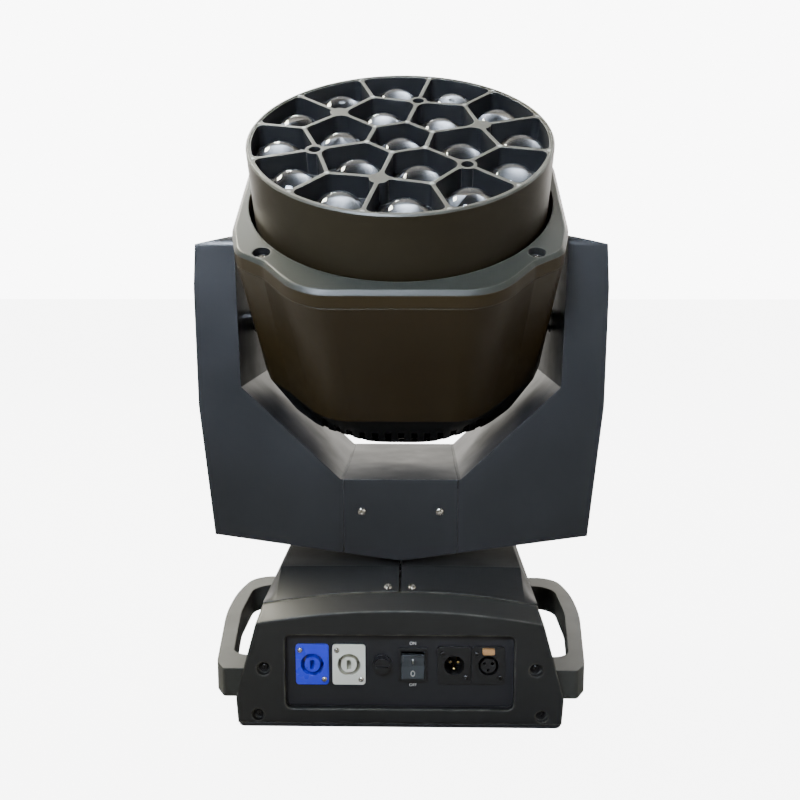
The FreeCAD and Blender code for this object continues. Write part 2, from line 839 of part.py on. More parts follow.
def switch_housing():
    """The bezel and box of the rocker switch."""
    body = new_body("switch_housing")
    front = panel_face()
    z = S.socket_z
    pad(body, sketch_on(body, "XZ", (rounded_box, S.switch_x, z, S.switch_width, S.switch_rise,
                                     1.5), lift=front), S.flange_thick)
    pad(body, sketch_on(body, "XZ", (box, S.switch_x, z, S.rocker_width + 3,
                                     S.rocker_rise + 5), lift=front), S.socket_depth - 6,
        backward=True)
    well = (box, S.switch_x, z, S.rocker_width + S.rocker_gap * 2,
            S.rocker_rise + S.rocker_gap * 4)
    pocket(body, sketch_on(body, "XZ", well, lift=front + S.flange_thick), 14)
    bores = (circle, rocker_pivot_y(), z, S.rocker_pin / 2 + S.run_fit)
    pocket(body, sketch_on(body, "YZ", bores, lift=S.switch_x),
           S.rocker_width + S.rocker_pin_proud * 2 + S.seat_gap, both=True)


def switch_rocker():
    """The rocker: a shallow V in side view, resting with its lower end pressed."""
    body = new_body("switch_rocker")
    half = S.rocker_rise / 2
    corners = [(-4.8, -half), (-3.4, 0), (-4.8, half), (1.5, half - 2), (1.5, 2 - half)]
    pad(body, sketch_on(body, "YZ", (polygon, corners)), S.rocker_width, both=True)
    pad(body, sketch_on(body, "YZ", (circle, 0, 0, S.rocker_pin / 2)),
        S.rocker_width + S.rocker_pin_proud * 2, both=True)
    place(body, S.switch_x, rocker_pivot_y(), S.socket_z, axis=(1, 0, 0), angle=S.rocker_throw)


def rocker_pivot_y():
    return S.rocker_depth - panel_face()


# ---------------------------------------------------------------- display side
def display_panel():
    body = new_body("display_panel")
    plate = sketch_on(body, "XZ", (rounded_box, 0, S.window_middle,
                                   S.window_width + S.panel_lip * 3,
                                   S.window_rise + S.panel_lip * 2, S.window_round),
                      lift=panel_face())
    pad(body, plate, S.panel_thick, backward=True)
    cuts = [(rounded_box, S.screen_x, S.window_middle, S.screen_width, S.screen_rise, 2)]
    cuts += [(circle, S.button_first_x + S.button_pitch * step, S.window_middle,
              S.button_across / 2 + S.seat_gap) for step in range(4)]
    pocket(body, sketch_on(body, "XZ", *cuts, lift=panel_face()), S.panel_thick)
    place(body, angle=180)


def display_screen():
    """The screen module, with its glass set in the panel's cut-out."""
    body = new_body("display_screen")
    glass = (rounded_box, S.screen_x, S.window_middle, S.screen_width - 0.4,
             S.screen_rise - 0.4, 2)
    board = (box, S.screen_x, S.window_middle, S.screen_width + 8, S.screen_rise + 8)
    back = panel_face() - S.panel_thick
    pad(body, sketch_on(body, "XZ", glass, lift=back), S.panel_thick)
    pad(body, sketch_on(body, "XZ", board, lift=back), 8, backward=True)
    place(body, angle=180)


def menu_button(label, step):
    body = new_body(label)
    x = S.button_first_x + S.button_pitch * step
    proud = S.button_travel + S.button_sill
    pad(body, sketch_on(body, "XZ", (circle, x, S.window_middle, S.button_across / 2),
                        lift=panel_face() + proud), proud + S.panel_thick + 3, backward=True)
    pad(body, sketch_on(body, "XZ", (circle, x, S.window_middle, S.button_across / 2 + 1.2),
                        lift=panel_face() - S.panel_thick - S.seat_gap), 1.2, backward=True)
    place(body, angle=180)


# ---------------------------------------------------------------- turntable
def chassis_bridge():
    """A folded bridge on the plate that carries the pan bearing and the pan motor."""
    body = new_body("chassis_bridge")
    outer = S.bridge_half_x
    inner = outer - S.bridge_thick
    low = S.plate_thick
    top = S.bridge_rise
    under = top - S.bridge_thick
    corners = [(-outer, low), (-inner, low), (-inner, under), (inner, under), (inner, low),
               (outer, low), (outer, top), (-outer, top)]
    pad(body, sketch_on(body, "XZ", (polygon, corners)), S.bridge_half_y * 2, both=True)
    cuts = sketch_on(body, "XY", (circle, 0, 0, S.bearing_across / 2),
                     (circle, S.pan_motor_x, 0, S.drive_wheel / 2 + 1), lift=top)
    pocket(body, cuts, S.bridge_thick)


def ring(label, outer, inner, floor, thick):
    """A plain ring about the pan axis."""
    body = new_body(label)
    pad(body, sketch_on(body, "XY", (circle, 0, 0, outer), (circle, 0, 0, inner), lift=floor),
        thick)
    return body


def bearing_floor():
    return S.bridge_rise + S.bearing_proud - S.bearing_thick


def pan_wheel_floor():
    return S.bridge_rise + S.bearing_proud + S.seat_gap


def pan_tube():
    """The hollow spindle under the yoke, with a flange on top."""
    body = new_body("pan_tube")
    low = bearing_floor() - 4
    high = S.frame_floor
    tube = S.tube_across / 2
    corners = [(S.tube_bore / 2, low), (tube, low), (tube, high - S.spindle_flange_thick),
               (S.spindle_flange / 2, high - S.spindle_flange_thick),
               (S.spindle_flange / 2, high), (S.tube_bore / 2, high)]
    turn(body, "Revolution", sketch_on(body, "XZ", (polygon, corners)))


def flanged_wheel(label, across, bore, thick, hub=0):
    """A toothed-belt wheel drawn about Z from its lower face: a rim between two flanges."""
    body = new_body(label)
    lip = S.wheel_lip
    side = S.wheel_flange
    corners = [(bore / 2, 0), (across / 2 + lip, 0), (across / 2 + lip, side),
               (across / 2, side), (across / 2, thick - side),
               (across / 2 + lip, thick - side), (across / 2 + lip, thick),
               (bore / 2, thick)]
    turn(body, "Revolution", sketch_on(body, "XZ", (polygon, corners)))
    return body


def motor(label):
    """A square stepping motor drawn about Z, its mounting face at z = 0, shaft upwards."""
    body = new_body(label)
    pad(body, sketch_on(body, "XY", (rounded_box, 0, 0, S.motor_side, S.motor_side, 4)),
        S.motor_long, backward=True)
    pad(body, sketch_on(body, "XY", (circle, 0, 0, S.motor_shaft / 2)), S.motor_shaft_long)
    return body


def belt(label, gap, big, small, thick):
    """A closed belt about two wheels on the X axis, drawn about Z from its lower edge."""
    inside_big = big / 2 + S.belt_gap
    inside_small = small / 2 + S.belt_gap

    def loop(add):
        first = number(inside_big) + add
        second = number(inside_small) + add
        reach = number(gap)
        lean = math.acos((first - second) / reach)
        ends = []
        for radius, x in ((first, 0), (second, reach)):
            ends.append([V(x + radius * math.cos(lean), way * radius * math.sin(lean), 0)
                         for way in (-1, 1)])
        far_left = V(-first, 0, 0)
        far_right = V(reach + second, 0, 0)
        edges = [Part.Arc(ends[0][1], far_left, ends[0][0]).toShape(),
                 Part.makeLine(ends[0][0], ends[1][0]),
                 Part.Arc(ends[1][0], far_right, ends[1][1]).toShape(),
                 Part.makeLine(ends[1][1], ends[0][1])]
        return Part.Face(Part.Wire(edges))

    face = loop(number(S.belt_thick)).cut(loop(0.0))
    piece = doc.addObject("Part::Feature", "Belt_" + label)
    piece.Label = label
    piece.Shape = face.extrude(V(0, 0, number(thick)))
    return piece


def power_supply():
    """The mains converter: a vented box standing on the base plate."""
    body = new_body("power_supply")
    middle = S.base_depth / 2 - S.supply_inset
    pad(body, sketch_on(body, "XY", (box, 0, middle, S.supply_long, S.supply_wide),
                        lift=S.plate_thick), S.supply_rise)
    cut = pocket(body, sketch_on(body, "XY", (box, -S.supply_long / 2 + 10, middle, 4,
                                              S.supply_wide - 12),
                                 lift=S.plate_thick + S.supply_rise), 1)
    repeat_line(body, cut, S.supply_long - 20, 10)


# ---------------------------------------------------------------- yoke
def yoke_tip_at(x):
    """Height of the shallow V under the yoke at a distance x from the middle."""
    return S.yoke_tip + (S.yoke_foot_z - S.yoke_tip) * x / S.yoke_foot_x


def arm_cover(label, side):
    """A hollow arm shell: crossbar end, fold and upright in one moulding."""
    body = new_body(label)
    half = S.yoke_depth / 2
    outline = [(S.yoke_seam_x, yoke_tip_at(S.yoke_seam_x)), (S.yoke_foot_x, S.yoke_foot_z),
               (S.yoke_knee_x, S.yoke_knee_z), (S.yoke_wide_x, S.yoke_wide_z),
               (S.yoke_top_x, S.yoke_top_z),
               (S.yoke_mouth_x, S.yoke_top_z + S.yoke_top_slope),
               (S.yoke_fold_x, S.yoke_fold_z), (S.yoke_flat_x, S.yoke_flat_z),
               (S.yoke_seam_x, S.yoke_flat_z)]
    shell = sketch_on(body, "XZ", (polygon, [(x * side, z) for x, z in outline]))
    pad(body, shell, S.yoke_depth, both=True)
    wide = S.yoke_depth
    floor = S.yoke_tip - 10
    top = S.yoke_top_z + S.yoke_top_slope
    trim = sketch_on(body, "YZ",
                     (polygon, [(-wide, floor - 5), (wide, floor - 5), (wide, top + 20),
                                (-wide, top + 20)]),
                     (rounded, [(-half, floor), (half, floor), (half, top), (-half, top)],
                      [2, 2, S.yoke_top_round, S.yoke_top_round]))
    pocket(body, trim, S.yoke_wide_x * 3, both=True)
    wall = S.yoke_wall
    ease_in = wall * S.fold_share
    low = yoke_tip_at(S.yoke_seam_x) + wall
    inside = [(S.yoke_seam_x - 1, low), (S.yoke_foot_x - wall, S.yoke_foot_z + wall),
              (S.yoke_knee_x - wall, S.yoke_knee_z), (S.yoke_wide_x - wall, S.yoke_ceiling),
              (S.yoke_mouth_x + wall, S.yoke_ceiling),
              (S.yoke_fold_x + wall, S.yoke_fold_z - ease_in),
              (S.yoke_flat_x + ease_in, S.yoke_flat_z - wall),
              (S.yoke_seam_x - 1, S.yoke_flat_z - wall)]
    hollow = sketch_on(body, "XZ", (polygon, [(x * side, z) for x, z in inside]))
    pocket(body, hollow, S.yoke_depth - wall * 2, both=True)
    eye = sketch_on(body, "YZ", (circle, 0, S.pivot_rise, S.axle_across / 2 + 2),
                    lift=S.yoke_mouth_x * side)
    pocket(body, eye, wall * 4, both=True)


def centre_cover():
    """The saddle between the arm covers: front plate, flat top and back plate."""
    body = new_body("centre_cover")
    half = S.yoke_depth / 2
    wall = S.yoke_wall
    low = S.yoke_tip
    top = S.yoke_flat_z
    corners = [(-half, low), (wall - half, low), (wall - half, top - wall),
               (half - wall, top - wall), (half - wall, low), (half, low), (half, top),
               (-half, top)]
    edge = S.yoke_seam_x - S.seat_gap
    pad(body, sketch_on(body, "YZ", (polygon, corners)), edge * 2, both=True)
    reach = edge + 1
    side = [(0, low - 1), (reach, low - 1), (reach, yoke_tip_at(reach)), (0, low)]
    for way in (-1, 1):
        wedge = sketch_on(body, "XZ", (polygon, [(x * way, z) for x, z in side]))
        pocket(body, wedge, S.yoke_depth + 2, both=True)
    holes = [(circle, S.cover_screw_x * way, S.cover_screw_z, 2.2) for way in (-1, 1)]
    pocket(body, sketch_on(body, "XZ", *holes), S.yoke_depth + 2, both=True)


def yoke_frame():
    """The bent metal U inside the covers, with bores for the tilt axles."""
    body = new_body("yoke_frame")
    plate = S.frame_plate
    inner = S.frame_upright_x
    outer = inner + plate
    low = S.frame_floor
    high = S.frame_head
    corners = [(-outer, low), (outer, low), (outer, high), (inner, high), (inner, low + plate),
               (-inner, low + plate), (-inner, high), (-outer, high)]
    pad(body, sketch_on(body, "XZ", (polygon, corners)), S.frame_half_y * 2, both=True)
    bores = sketch_on(body, "YZ", (circle, 0, S.pivot_rise, S.axle_across / 2 + S.run_fit))
    pocket(body, bores, S.yoke_wide_x * 2, both=True)
    relief = sketch_on(body, "YZ", (circle, 0, S.tilt_motor_z, S.motor_shaft))
    pocket(body, relief, S.yoke_wide_x, backward=True)
    cable = sketch_on(body, "XY", (circle, 0, 0, S.tube_bore / 2), lift=low + plate)
    pocket(body, cable, plate)


# ---------------------------------------------------------------- head
def axle(label, side, length):
    """A hollow tilt axle along X with a flange against the head's bracket."""
    body = new_body(label)
    start = S.axle_start
    flange = start + S.axle_flange_thick
    end = start + length
    bore = S.axle_bore / 2
    corners = [(start, bore), (start, S.axle_flange / 2), (flange, S.axle_flange / 2),
               (flange, S.axle_across / 2), (end, S.axle_across / 2), (end, bore)]
    profile = sketch_on(body, "XZ", (polygon, [(x * side, z) for x, z in corners]))
    turn(body, "Revolution", profile, "X_Axis")
    in_head(body)


def head_corners(width, depth, shoulder, crease, cheek, flank):
    """Head outline, front half first: flat face, shoulder, hollow crease, cheek and flank."""
    front = [(shoulder, -depth), (crease[0], -crease[1]), (cheek[0], -cheek[1]),
             (width, -flank)]
    right = front + [(x, -y) for x, y in reversed(front)]
    return right + [(-x, -y) for x, y in right]


HEAD_RADII = [45, 10, 16, 60, 60, 16, 10, 45] * 2


def head_section(body, level, corners, less=0):
    """One cross-section of the head cover, drawn inwards by a wall."""
    width, depth, shoulder, crease, cheek, flank = corners
    inner_crease = (crease[0] - less * 0.7, crease[1] - less * 0.75)
    inner_cheek = (cheek[0] - less * 0.9, cheek[1] - less * 0.5)
    outline = head_corners(width - less, depth - less, shoulder - less * 0.5, inner_crease,
                           inner_cheek, flank)
    return sketch_on(body, "XY", (rounded, outline, HEAD_RADII), lift=level)


def bezel_corners():
    return (S.head_half_width, S.head_half_depth, S.head_shoulder_x,
            (S.crease_x, S.crease_y), (S.cheek_x, S.cheek_y), S.flank_y)


def seam_corners():
    return (S.seam_half_width, S.seam_half_depth, S.seam_shoulder_x,
            (S.seam_crease_x, S.seam_crease_y), (S.seam_cheek_x, S.seam_cheek_y),
            S.seam_flank_y)


def oval_corners(width, depth):
    """Corners of a sixteen-sided outline that touches an oval."""
    points = []
    for middle, half in ((76, 14), (51, 11), (30, 10), (10, 10)):
        stretch = 1 / math.cos(math.radians(half))
        points.append((width * (math.cos(math.radians(middle)) * stretch),
                       depth * (math.sin(math.radians(middle)) * stretch)))
    return (points[3][0], points[0][1], points[0][0], points[1], points[2], points[3][1])


def head_cover(label, end):
    """One half of the head cover, front or back, split at the tilt axles."""
    body = new_body(label)
    wall = S.head_wall
    loft(body, "AdditiveLoft", head_section(body, S.bezel_base, bezel_corners()),
         head_section(body, S.seam_level, seam_corners()))
    loft(body, "SubtractiveLoft", head_section(body, S.bezel_base, bezel_corners(), wall),
         head_section(body, S.seam_level, seam_corners(), wall))
    reach = S.head_half_width * 2
    gap = S.seat_gap / 2
    half = [(-reach, -reach * end), (reach, -reach * end), (reach, gap * end),
            (-reach, gap * end)]
    remove = sketch_on(body, "XY", (polygon, half), lift=S.bezel_top)
    pocket(body, remove, S.bezel_top - S.tail_level)
    eye = sketch_on(body, "YZ", (circle, 0, 0, S.axle_across / 2 + 2))
    pocket(body, eye, S.head_half_width * 2.2, both=True)
    in_head(body)


def head_bezel():
    """The ring on top of the covers, with an eased rim and the bore for the lens drum."""
    body = new_body("head_bezel")
    edge = S.bezel_edge
    pad(body, head_section(body, S.bezel_base, bezel_corners()),
        S.bezel_top - S.bezel_base - edge)
    loft(body, "AdditiveLoft", head_section(body, S.bezel_top - edge, bezel_corners()),
         head_section(body, S.bezel_top, bezel_corners(), edge))
    bore = sketch_on(body, "XY", (circle, 0, 0, S.bezel_bore / 2), lift=S.bezel_top)
    pocket(body, bore, S.bezel_top)
    wells = [(circle, S.bezel_screw_x * x, S.bezel_screw_y * y, S.bezel_well / 2)
             for x in (-1, 1) for y in (-1, 1)]
    pocket(body, sketch_on(body, "XY", *wells, lift=S.bezel_top), S.bezel_well_depth)
    in_head(body)


def rear_cover():
    """The dark tail cover, closing in on the fan, with comb vents front and back."""
    body = new_body("rear_cover")
    wall = S.head_wall
    belly = oval_corners(S.belly_half_width, S.belly_half_depth)
    tail = oval_corners(S.tail_half_width, S.tail_half_depth)
    loft(body, "AdditiveLoft", head_section(body, S.seam_level, seam_corners()),
         oval_section(body, S.belly_level, belly, S.belly_round))
    loft(body, "AdditiveLoft", oval_section(body, S.belly_level, belly, S.belly_round),
         oval_section(body, S.tail_level, tail, S.tail_round))
    loft(body, "SubtractiveLoft", head_section(body, S.seam_level, seam_corners(), wall),
         oval_section(body, S.belly_level, belly, S.belly_round, wall))
    loft(body, "SubtractiveLoft", oval_section(body, S.belly_level, belly, S.belly_round, wall),
         oval_section(body, S.tail_level + wall, tail, S.tail_round, wall))
    first = -S.vent_pitch * 6
    slot = sketch_on(body, "XZ", (box, first, S.vent_level, S.vent_width, S.vent_rise))
    vents = pocket(body, slot, S.head_half_depth * 2.2, both=True)
    repeat_line(body, vents, S.vent_pitch * 12, 13)
    tail_slot = sketch_on(body, "XY", (box, S.fan_side / 4, 0, S.fan_side / 2 - 14,
                                       S.vent_width), lift=S.tail_level + wall * 2)
    tail_vent = pocket(body, tail_slot, wall * 4)
    repeat_round(body, tail_vent, 8)
    in_head(body)


def oval_section(body, level, corners, radius, less=0):
    width, depth, shoulder, crease, cheek, flank = corners
    outline = head_corners(width - less, depth - less, shoulder - less * 0.3,
                           (crease[0] - less * 0.65, crease[1] - less * 0.75),
                           (cheek[0] - less * 0.87, cheek[1] - less * 0.5), flank)
    return sketch_on(body, "XY", (rounded, outline, radius - less), lift=level)


def head_deck():
    """The cross plate of the head: axle brackets at its sides and three guide rods."""
    body = new_body("head_deck")
    level = S.deck_level
    pad(body, sketch_on(body, "XY", (circle, 0, 0, S.deck_across / 2), lift=level),
        S.deck_thick, backward=True)
    outer = S.axle_start
    inner = outer - S.deck_thick
    for side in (-1, 1):
        foot = [(S.deck_across / 2 - 12, level - S.deck_thick), (outer, level - S.deck_thick),
                (outer, S.bracket_rise), (inner, S.bracket_rise), (inner, level),
                (S.deck_across / 2 - 12, level)]
        profile = sketch_on(body, "XZ", (polygon, [(x * side, z) for x, z in foot]))
        pad(body, profile, S.bracket_wide, both=True)
    rod = pad(body, sketch_on(body, "XY", (circle, *rod_spot(), S.rod_across / 2), lift=level),
              S.drum_base - level + 2)
    repeat_round(body, rod, 3)
    doc.recompute()
    bores = sketch_on(body, "YZ", (circle, 0, 0, S.axle_bore / 2))
    pocket(body, bores, S.head_half_width * 2, both=True)
    in_head(body)


def rod_spot():
    """Place of the first guide rod, behind the lens axis."""
    return 0, S.rod_ring


def led_board():
    body = new_body("led_board")
    pad(body, sketch_on(body, "XY", (circle, 0, 0, S.board_across / 2), lift=S.deck_level),
        S.board_thick)
    in_head(body)


def collimators():
    """Nineteen six-sided light rods in one moulding over the emitters."""
    body = new_body("collimators")
    floor = S.deck_level + S.board_thick
    pad(body, sketch_on(body, "XY", (circle, 0, 0, S.board_across / 2 - 4), lift=floor), 2)
    pad(body, sketch_on(body, "XY", (polygon, light_rod(0)), lift=floor + 2), S.rod_rise)
    for spread, count, turned in ((S.emitter_ring_one, 6, 30), (S.emitter_ring_two, 12, 15)):
        rod = pad(body, spin(sketch_on(body, "XY", (polygon, light_rod(spread)),
                                       lift=floor + 2), S.hex_phase + turned), S.rod_rise)
        repeat_round(body, rod, count)
    in_head(body)


def light_rod(x):
    """Corners of a hexagon centred at a distance along X."""
    return [(x + S.rod_half * math.cos(math.radians(60 * step)),
             S.rod_half * math.sin(math.radians(60 * step))) for step in range(6)]


def heat_sink():
    """A finned block under the deck."""
    body = new_body("heat_sink")
    top = S.deck_level - S.deck_thick
    spine = S.sink_spine
    pad(body, sketch_on(body, "XY", (box, 0, 0, S.sink_half_x * 2, S.sink_half_y * 2),
                        lift=top), spine, backward=True)
    fin = pad(body, sketch_on(body, "XY", (box, -S.sink_half_x + S.fin_thick / 2, 0,
                                           S.fin_thick, S.sink_half_y * 2),
                              lift=top - spine), S.sink_rise - spine, backward=True)
    repeat_line(body, fin, S.sink_half_x * 2 - S.fin_thick, 14)
    in_head(body)


def fan_top():
    return S.deck_level - S.deck_thick - S.sink_rise


def fan_frame():
    body = new_body("fan_frame")
    side = S.fan_side
    bore = side / 2 - S.fan_rim
    hub = S.fan_hub / 2
    top = fan_top()
    pad(body, sketch_on(body, "XY", (rounded_box, 0, 0, side, side, 5), (circle, 0, 0, bore),
                        lift=top), S.fan_thick, backward=True)
    low = top - S.fan_thick
    pad(body, sketch_on(body, "XY", (circle, 0, 0, hub), lift=low), 2)
    arm = pad(body, sketch_on(body, "XY", (box, side / 4, 0, side / 2 - 3, 4), lift=low), 2)
    repeat_round(body, arm, 4)
    doc.recompute()
    pad(body, sketch_on(body, "XY", (circle, 0, 0, S.motor_shaft / 2), lift=low), 9)
    in_head(body)


def fan_rotor():
    """Hub and pitched blades of the cooling fan."""
    body = new_body("fan_rotor")
    hub = S.fan_hub / 2
    tip = S.fan_side / 2 - S.fan_rim - 1.5
    low = fan_top() - S.fan_thick + 3
    pad(body, sketch_on(body, "XY", (circle, 0, 0, hub),
                        (circle, 0, 0, S.motor_shaft / 2 + S.run_fit), lift=low),
        S.fan_thick - 5)
    blade = pad(body, sketch_on(body, "XY", (polygon, [(hub - 2, -6), (tip, -8), (tip, 2),
                                                       (hub - 2, 1)]), lift=low + 5), 3)
    repeat_round(body, blade, S.fan_blades)
    in_head(body)


# ---------------------------------------------------------------- zoom and lens rotation
def zoom_carriage():
    """The sliding ring on the guide rods, with the collar the lens drum turns on."""
    body = new_body("zoom_carriage")
    top = S.drum_base - S.seat_gap
    pad(body, sketch_on(body, "XY", (circle, 0, 0, S.carriage_across / 2),
                        (circle, 0, 0, S.carriage_bore / 2), lift=top), S.carriage_thick,
        backward=True)
    collar = S.drum_flange_bore / 2 - S.run_fit
    pad(body, sketch_on(body, "XY", (circle, 0, 0, collar), (circle, 0, 0, collar - 3),
                        lift=top), S.seat_gap + S.drum_flange_thick + 1)
    eye = pocket(body, sketch_on(body, "XY", (circle, *rod_spot(),
                                              S.rod_across / 2 + S.run_fit),
                                 lift=top + S.drum_flange_thick + 2), S.carriage_thick * 3)
    repeat_round(body, eye, 3)
    in_head(body)


def lens_drum():
    """The turning drum: a wall, an inner flange at the foot and a rim at the top."""
    body = new_body("lens_drum")
    outer = S.drum_across / 2
    inner = outer - S.drum_wall
    low = S.drum_base
    high = S.drum_top
    flange = S.drum_flange_bore / 2
    corners = [(flange, low), (outer, low), (outer, high - S.rim_round),
               (outer - S.rim_round, high), (inner, high), (inner, low + S.drum_flange_thick),
               (flange, low + S.drum_flange_thick)]
    turn(body, "Revolution", sketch_on(body, "XZ", (polygon, corners)))
    in_head(body)


def crossing(first, second):
    """Where two lines meet, each given by the angle of its normal and its distance."""
    (turn_a, far_a), (turn_b, far_b) = first, second
    spread = sine(turn_b - turn_a)
    return ((far_a * sine(turn_b) - far_b * sine(turn_a)) / spread,
            (far_b * cosine(turn_a) - far_a * cosine(turn_b)) / spread)


def cell(lines, radii):
    """Outline of a honeycomb cell from the lines of its sides, in order round it."""
    corners = [crossing(lines[index - 1], line) for index, line in enumerate(lines)]
    return rounded, corners, radii


def honeycomb_grid():
    """The lens holder: a thick disc with nineteen round-cornered cells and lens seats."""
    body = new_body("honeycomb_grid")
    floor = S.lens_floor
    top = S.drum_top - S.grid_drop
    rise = top - floor
    depth = rise - S.lens_floor_thick
    edge = S.drum_across / 2 - S.drum_wall - S.seat_gap
    half = S.cell_wall / 2
    pad(body, sketch_on(body, "XY", (circle, 0, 0, edge), lift=floor), rise)
    small, knot = S.cell_round, S.knot_round
    web = S.cell_web
    lean = S.cell_web_turn
    centre = cell([(30 + 60 * step, S.cell_inner - half) for step in range(6)], small)
    pocket(body, spin(sketch_on(body, "XY", centre, lift=top), S.hex_phase), depth)
    inner = cell([(180, -S.cell_inner - half), (-120, -half), (-lean, web - half),
                  (lean, web - half), (120, -half)], [small, small, knot, small, knot])
    first = pocket(body, spin(sketch_on(body, "XY", inner, lift=top), S.hex_phase + 30), depth)
    repeat_round(body, first, 6)
    rim = edge - S.cell_rim
    outer = [(-90, -half), (4, rim), (26, rim), (120, -half), (210 - lean, -web - half)]
    radii = [knot, small, rim, small, small]
    for way in (1, -1):
        lines = [(turned * way, far) for turned, far in outer[::way]]
        shape = cell(lines, radii if way > 0 else radii[:1] + radii[:0:-1])
        pocket_two = pocket(body, spin(sketch_on(body, "XY", shape, lift=top), S.hex_phase),
                            depth)
        repeat_round(body, pocket_two, 6)
    boss = pad(body, spin(sketch_on(body, "XY", (circle, S.cell_knot, 0, S.boss_across / 2),
                                    lift=floor), S.hex_phase), rise)
    repeat_round(body, boss, 6)
    doc.recompute()
    bore = pocket(body, spin(sketch_on(body, "XY", (circle, S.cell_knot, 0, S.boss_bore / 2),
                                       lift=top), S.hex_phase + 60), rise + 1)
    repeat_round(body, bore, 3)
    doc.recompute()
    hole = S.lens_across / 2 + S.seat_gap
    pocket(body, sketch_on(body, "XY", (circle, 0, 0, hole), lift=floor + S.lens_floor_thick),
           S.lens_floor_thick)
    for spread, count, turned in ((S.ring_one, 6, 30), (S.ring_two, 12, 15)):
        seat = pocket(body, spin(sketch_on(body, "XY", (circle, spread, 0, hole),
                                           lift=floor + S.lens_floor_thick),
                                 S.hex_phase + turned), S.lens_floor_thick)
        repeat_round(body, seat, count)
    in_head(body)


def spin(sketch, angle):
    """Turn a sketch in its own plane about the origin."""
    offset = sketch.AttachmentOffset
    sketch.AttachmentOffset = FreeCAD.Placement(offset.Base,
                                                FreeCAD.Rotation(V(0, 0, 1), number(angle)))
    sketch.setExpression("AttachmentOffset.Rotation.Angle", text(angle))
    for name, amount in zip("xyz", ("0", "0", "1")):
        sketch.setExpression("AttachmentOffset.Rotation.Axis." + name, amount)
    return sketch


def dome(body, x, y):
    """One lens: the upper half of a ball, standing through its hole in the grid."""
    feature = body.newObject("PartDesign::AdditiveSphere", "Dome")
    feature.AttachmentSupport = (origin_item(body, "XY_Plane"), [""])
    feature.MapMode = "FlatFace"
    level = S.lens_floor - S.lens_plate_thick
    feature.AttachmentOffset = FreeCAD.Placement(V(number(x), number(y), number(level)),
                                                 FreeCAD.Rotation())
    for name, size in (("x", x), ("y", y), ("z", level)):
        bind(feature, "AttachmentOffset.Base." + name, size)
    bind(feature, "Radius", S.lens_across / 2)
    feature.Angle1 = 0
    return feature


def lens_array():
    """Nineteen domed lenses moulded in one clear plate under the grid."""
    body = new_body("lens_array")
    plate = S.drum_across / 2 - S.drum_wall - S.seat_gap
    pad(body, sketch_on(body, "XY", (circle, 0, 0, plate), lift=S.lens_floor),
        S.lens_plate_thick, backward=True)
    dome(body, 0, 0)
    for spread, count, turned in ((S.ring_one, 6, 30), (S.ring_two, 12, 15)):
        angle = S.hex_phase + turned
        first = dome(body, spread * cosine(angle), spread * sine(angle))
        repeat_round(body, first, count)
    in_head(body)


# ---------------------------------------------------------------- assembly
def base_pieces():
    base_plate()
    rubber_feet()
    fascia("front_fascia", False)
    fascia("rear_fascia", True)
    for name, side in SIDES.items():
        side_wall("side_wall_" + name, side)
        top_cover("top_cover_" + name, side)
    handles()
    connector_panel()
    power_socket("power_inlet", S.inlet_x)
    power_socket("power_outlet", S.outlet_x)
    fuse_holder()
    fuse_cap()
    switch_housing()
    switch_rocker()
    signal_socket("signal_inlet", S.signal_in_x, True)
    signal_socket("signal_outlet", S.signal_out_x, False)
    latch_tab()
    display_panel()
    display_screen()
    for step in range(4):
        menu_button(f"menu_button_{step + 1}", step)
    chassis_bridge()
    power_supply()


def turntable_pieces():
    ring("pan_bearing", S.bearing_across / 2, S.tube_across / 2 + S.run_fit, bearing_floor(),
         S.bearing_thick)
    pan_tube()
    wheel = flanged_wheel("pan_pulley", S.pan_wheel, S.tube_across, S.pan_wheel_thick)
    place(wheel, z=pan_wheel_floor())
    place(motor("pan_motor"), x=S.pan_motor_x, z=S.bridge_rise - S.bridge_thick)
    small = flanged_wheel("pan_motor_pulley", S.drive_wheel, S.motor_shaft + S.run_fit * 2,
                          S.pan_wheel_thick)
    place(small, x=S.pan_motor_x, z=pan_wheel_floor())
    loop = belt("pan_belt", S.pan_motor_x, S.pan_wheel, S.drive_wheel,
                S.pan_wheel_thick - S.wheel_flange * 2 - S.belt_gap * 2)
    place(loop, z=pan_wheel_floor() + S.wheel_flange + S.belt_gap)


def yoke_pieces():
    yoke_frame()
    centre_cover()
    for name, side in SIDES.items():
        arm_cover("arm_cover_" + name, side)
    upward = (0, 1, 0)
    place(motor("tilt_motor"), x=S.frame_upright_x, z=S.tilt_motor_z, axis=upward,
          angle=S.quarter_turn)
    small = flanged_wheel("tilt_motor_pulley", S.drive_wheel, S.motor_shaft + S.run_fit * 2,
                          S.tilt_wheel_thick)
    place(small, x=S.tilt_wheel_x, z=S.tilt_motor_z, axis=upward, angle=S.quarter_turn)
    wheel = flanged_wheel("tilt_pulley", S.tilt_wheel, S.axle_across, S.tilt_wheel_thick)
    place(wheel, x=S.tilt_wheel_x, z=S.pivot_rise, axis=upward, angle=S.quarter_turn)
    loop = belt("tilt_belt", S.pivot_rise - S.tilt_motor_z, S.tilt_wheel, S.drive_wheel,
                S.tilt_wheel_thick - S.wheel_flange * 2 - S.belt_gap * 2)
    place(loop, x=S.tilt_wheel_x + S.wheel_flange + S.belt_gap, z=S.pivot_rise, axis=upward,
          angle=S.quarter_turn)


def head_pieces():
    head_deck()
    axle("tilt_axle_right", 1, S.axle_long_right)
    axle("tilt_axle_left", -1, S.axle_long_left)
    head_cover("head_cover_front", 1)
    head_cover("head_cover_back", -1)
    head_bezel()
    rear_cover()
    heat_sink()
    led_board()
    collimators()
    fan_frame()
    fan_rotor()
    zoom_carriage()
    lens_drum()
    honeycomb_grid()
    lens_array()


base_pieces()
turntable_pieces()
yoke_pieces()
head_pieces()
doc.recompute()

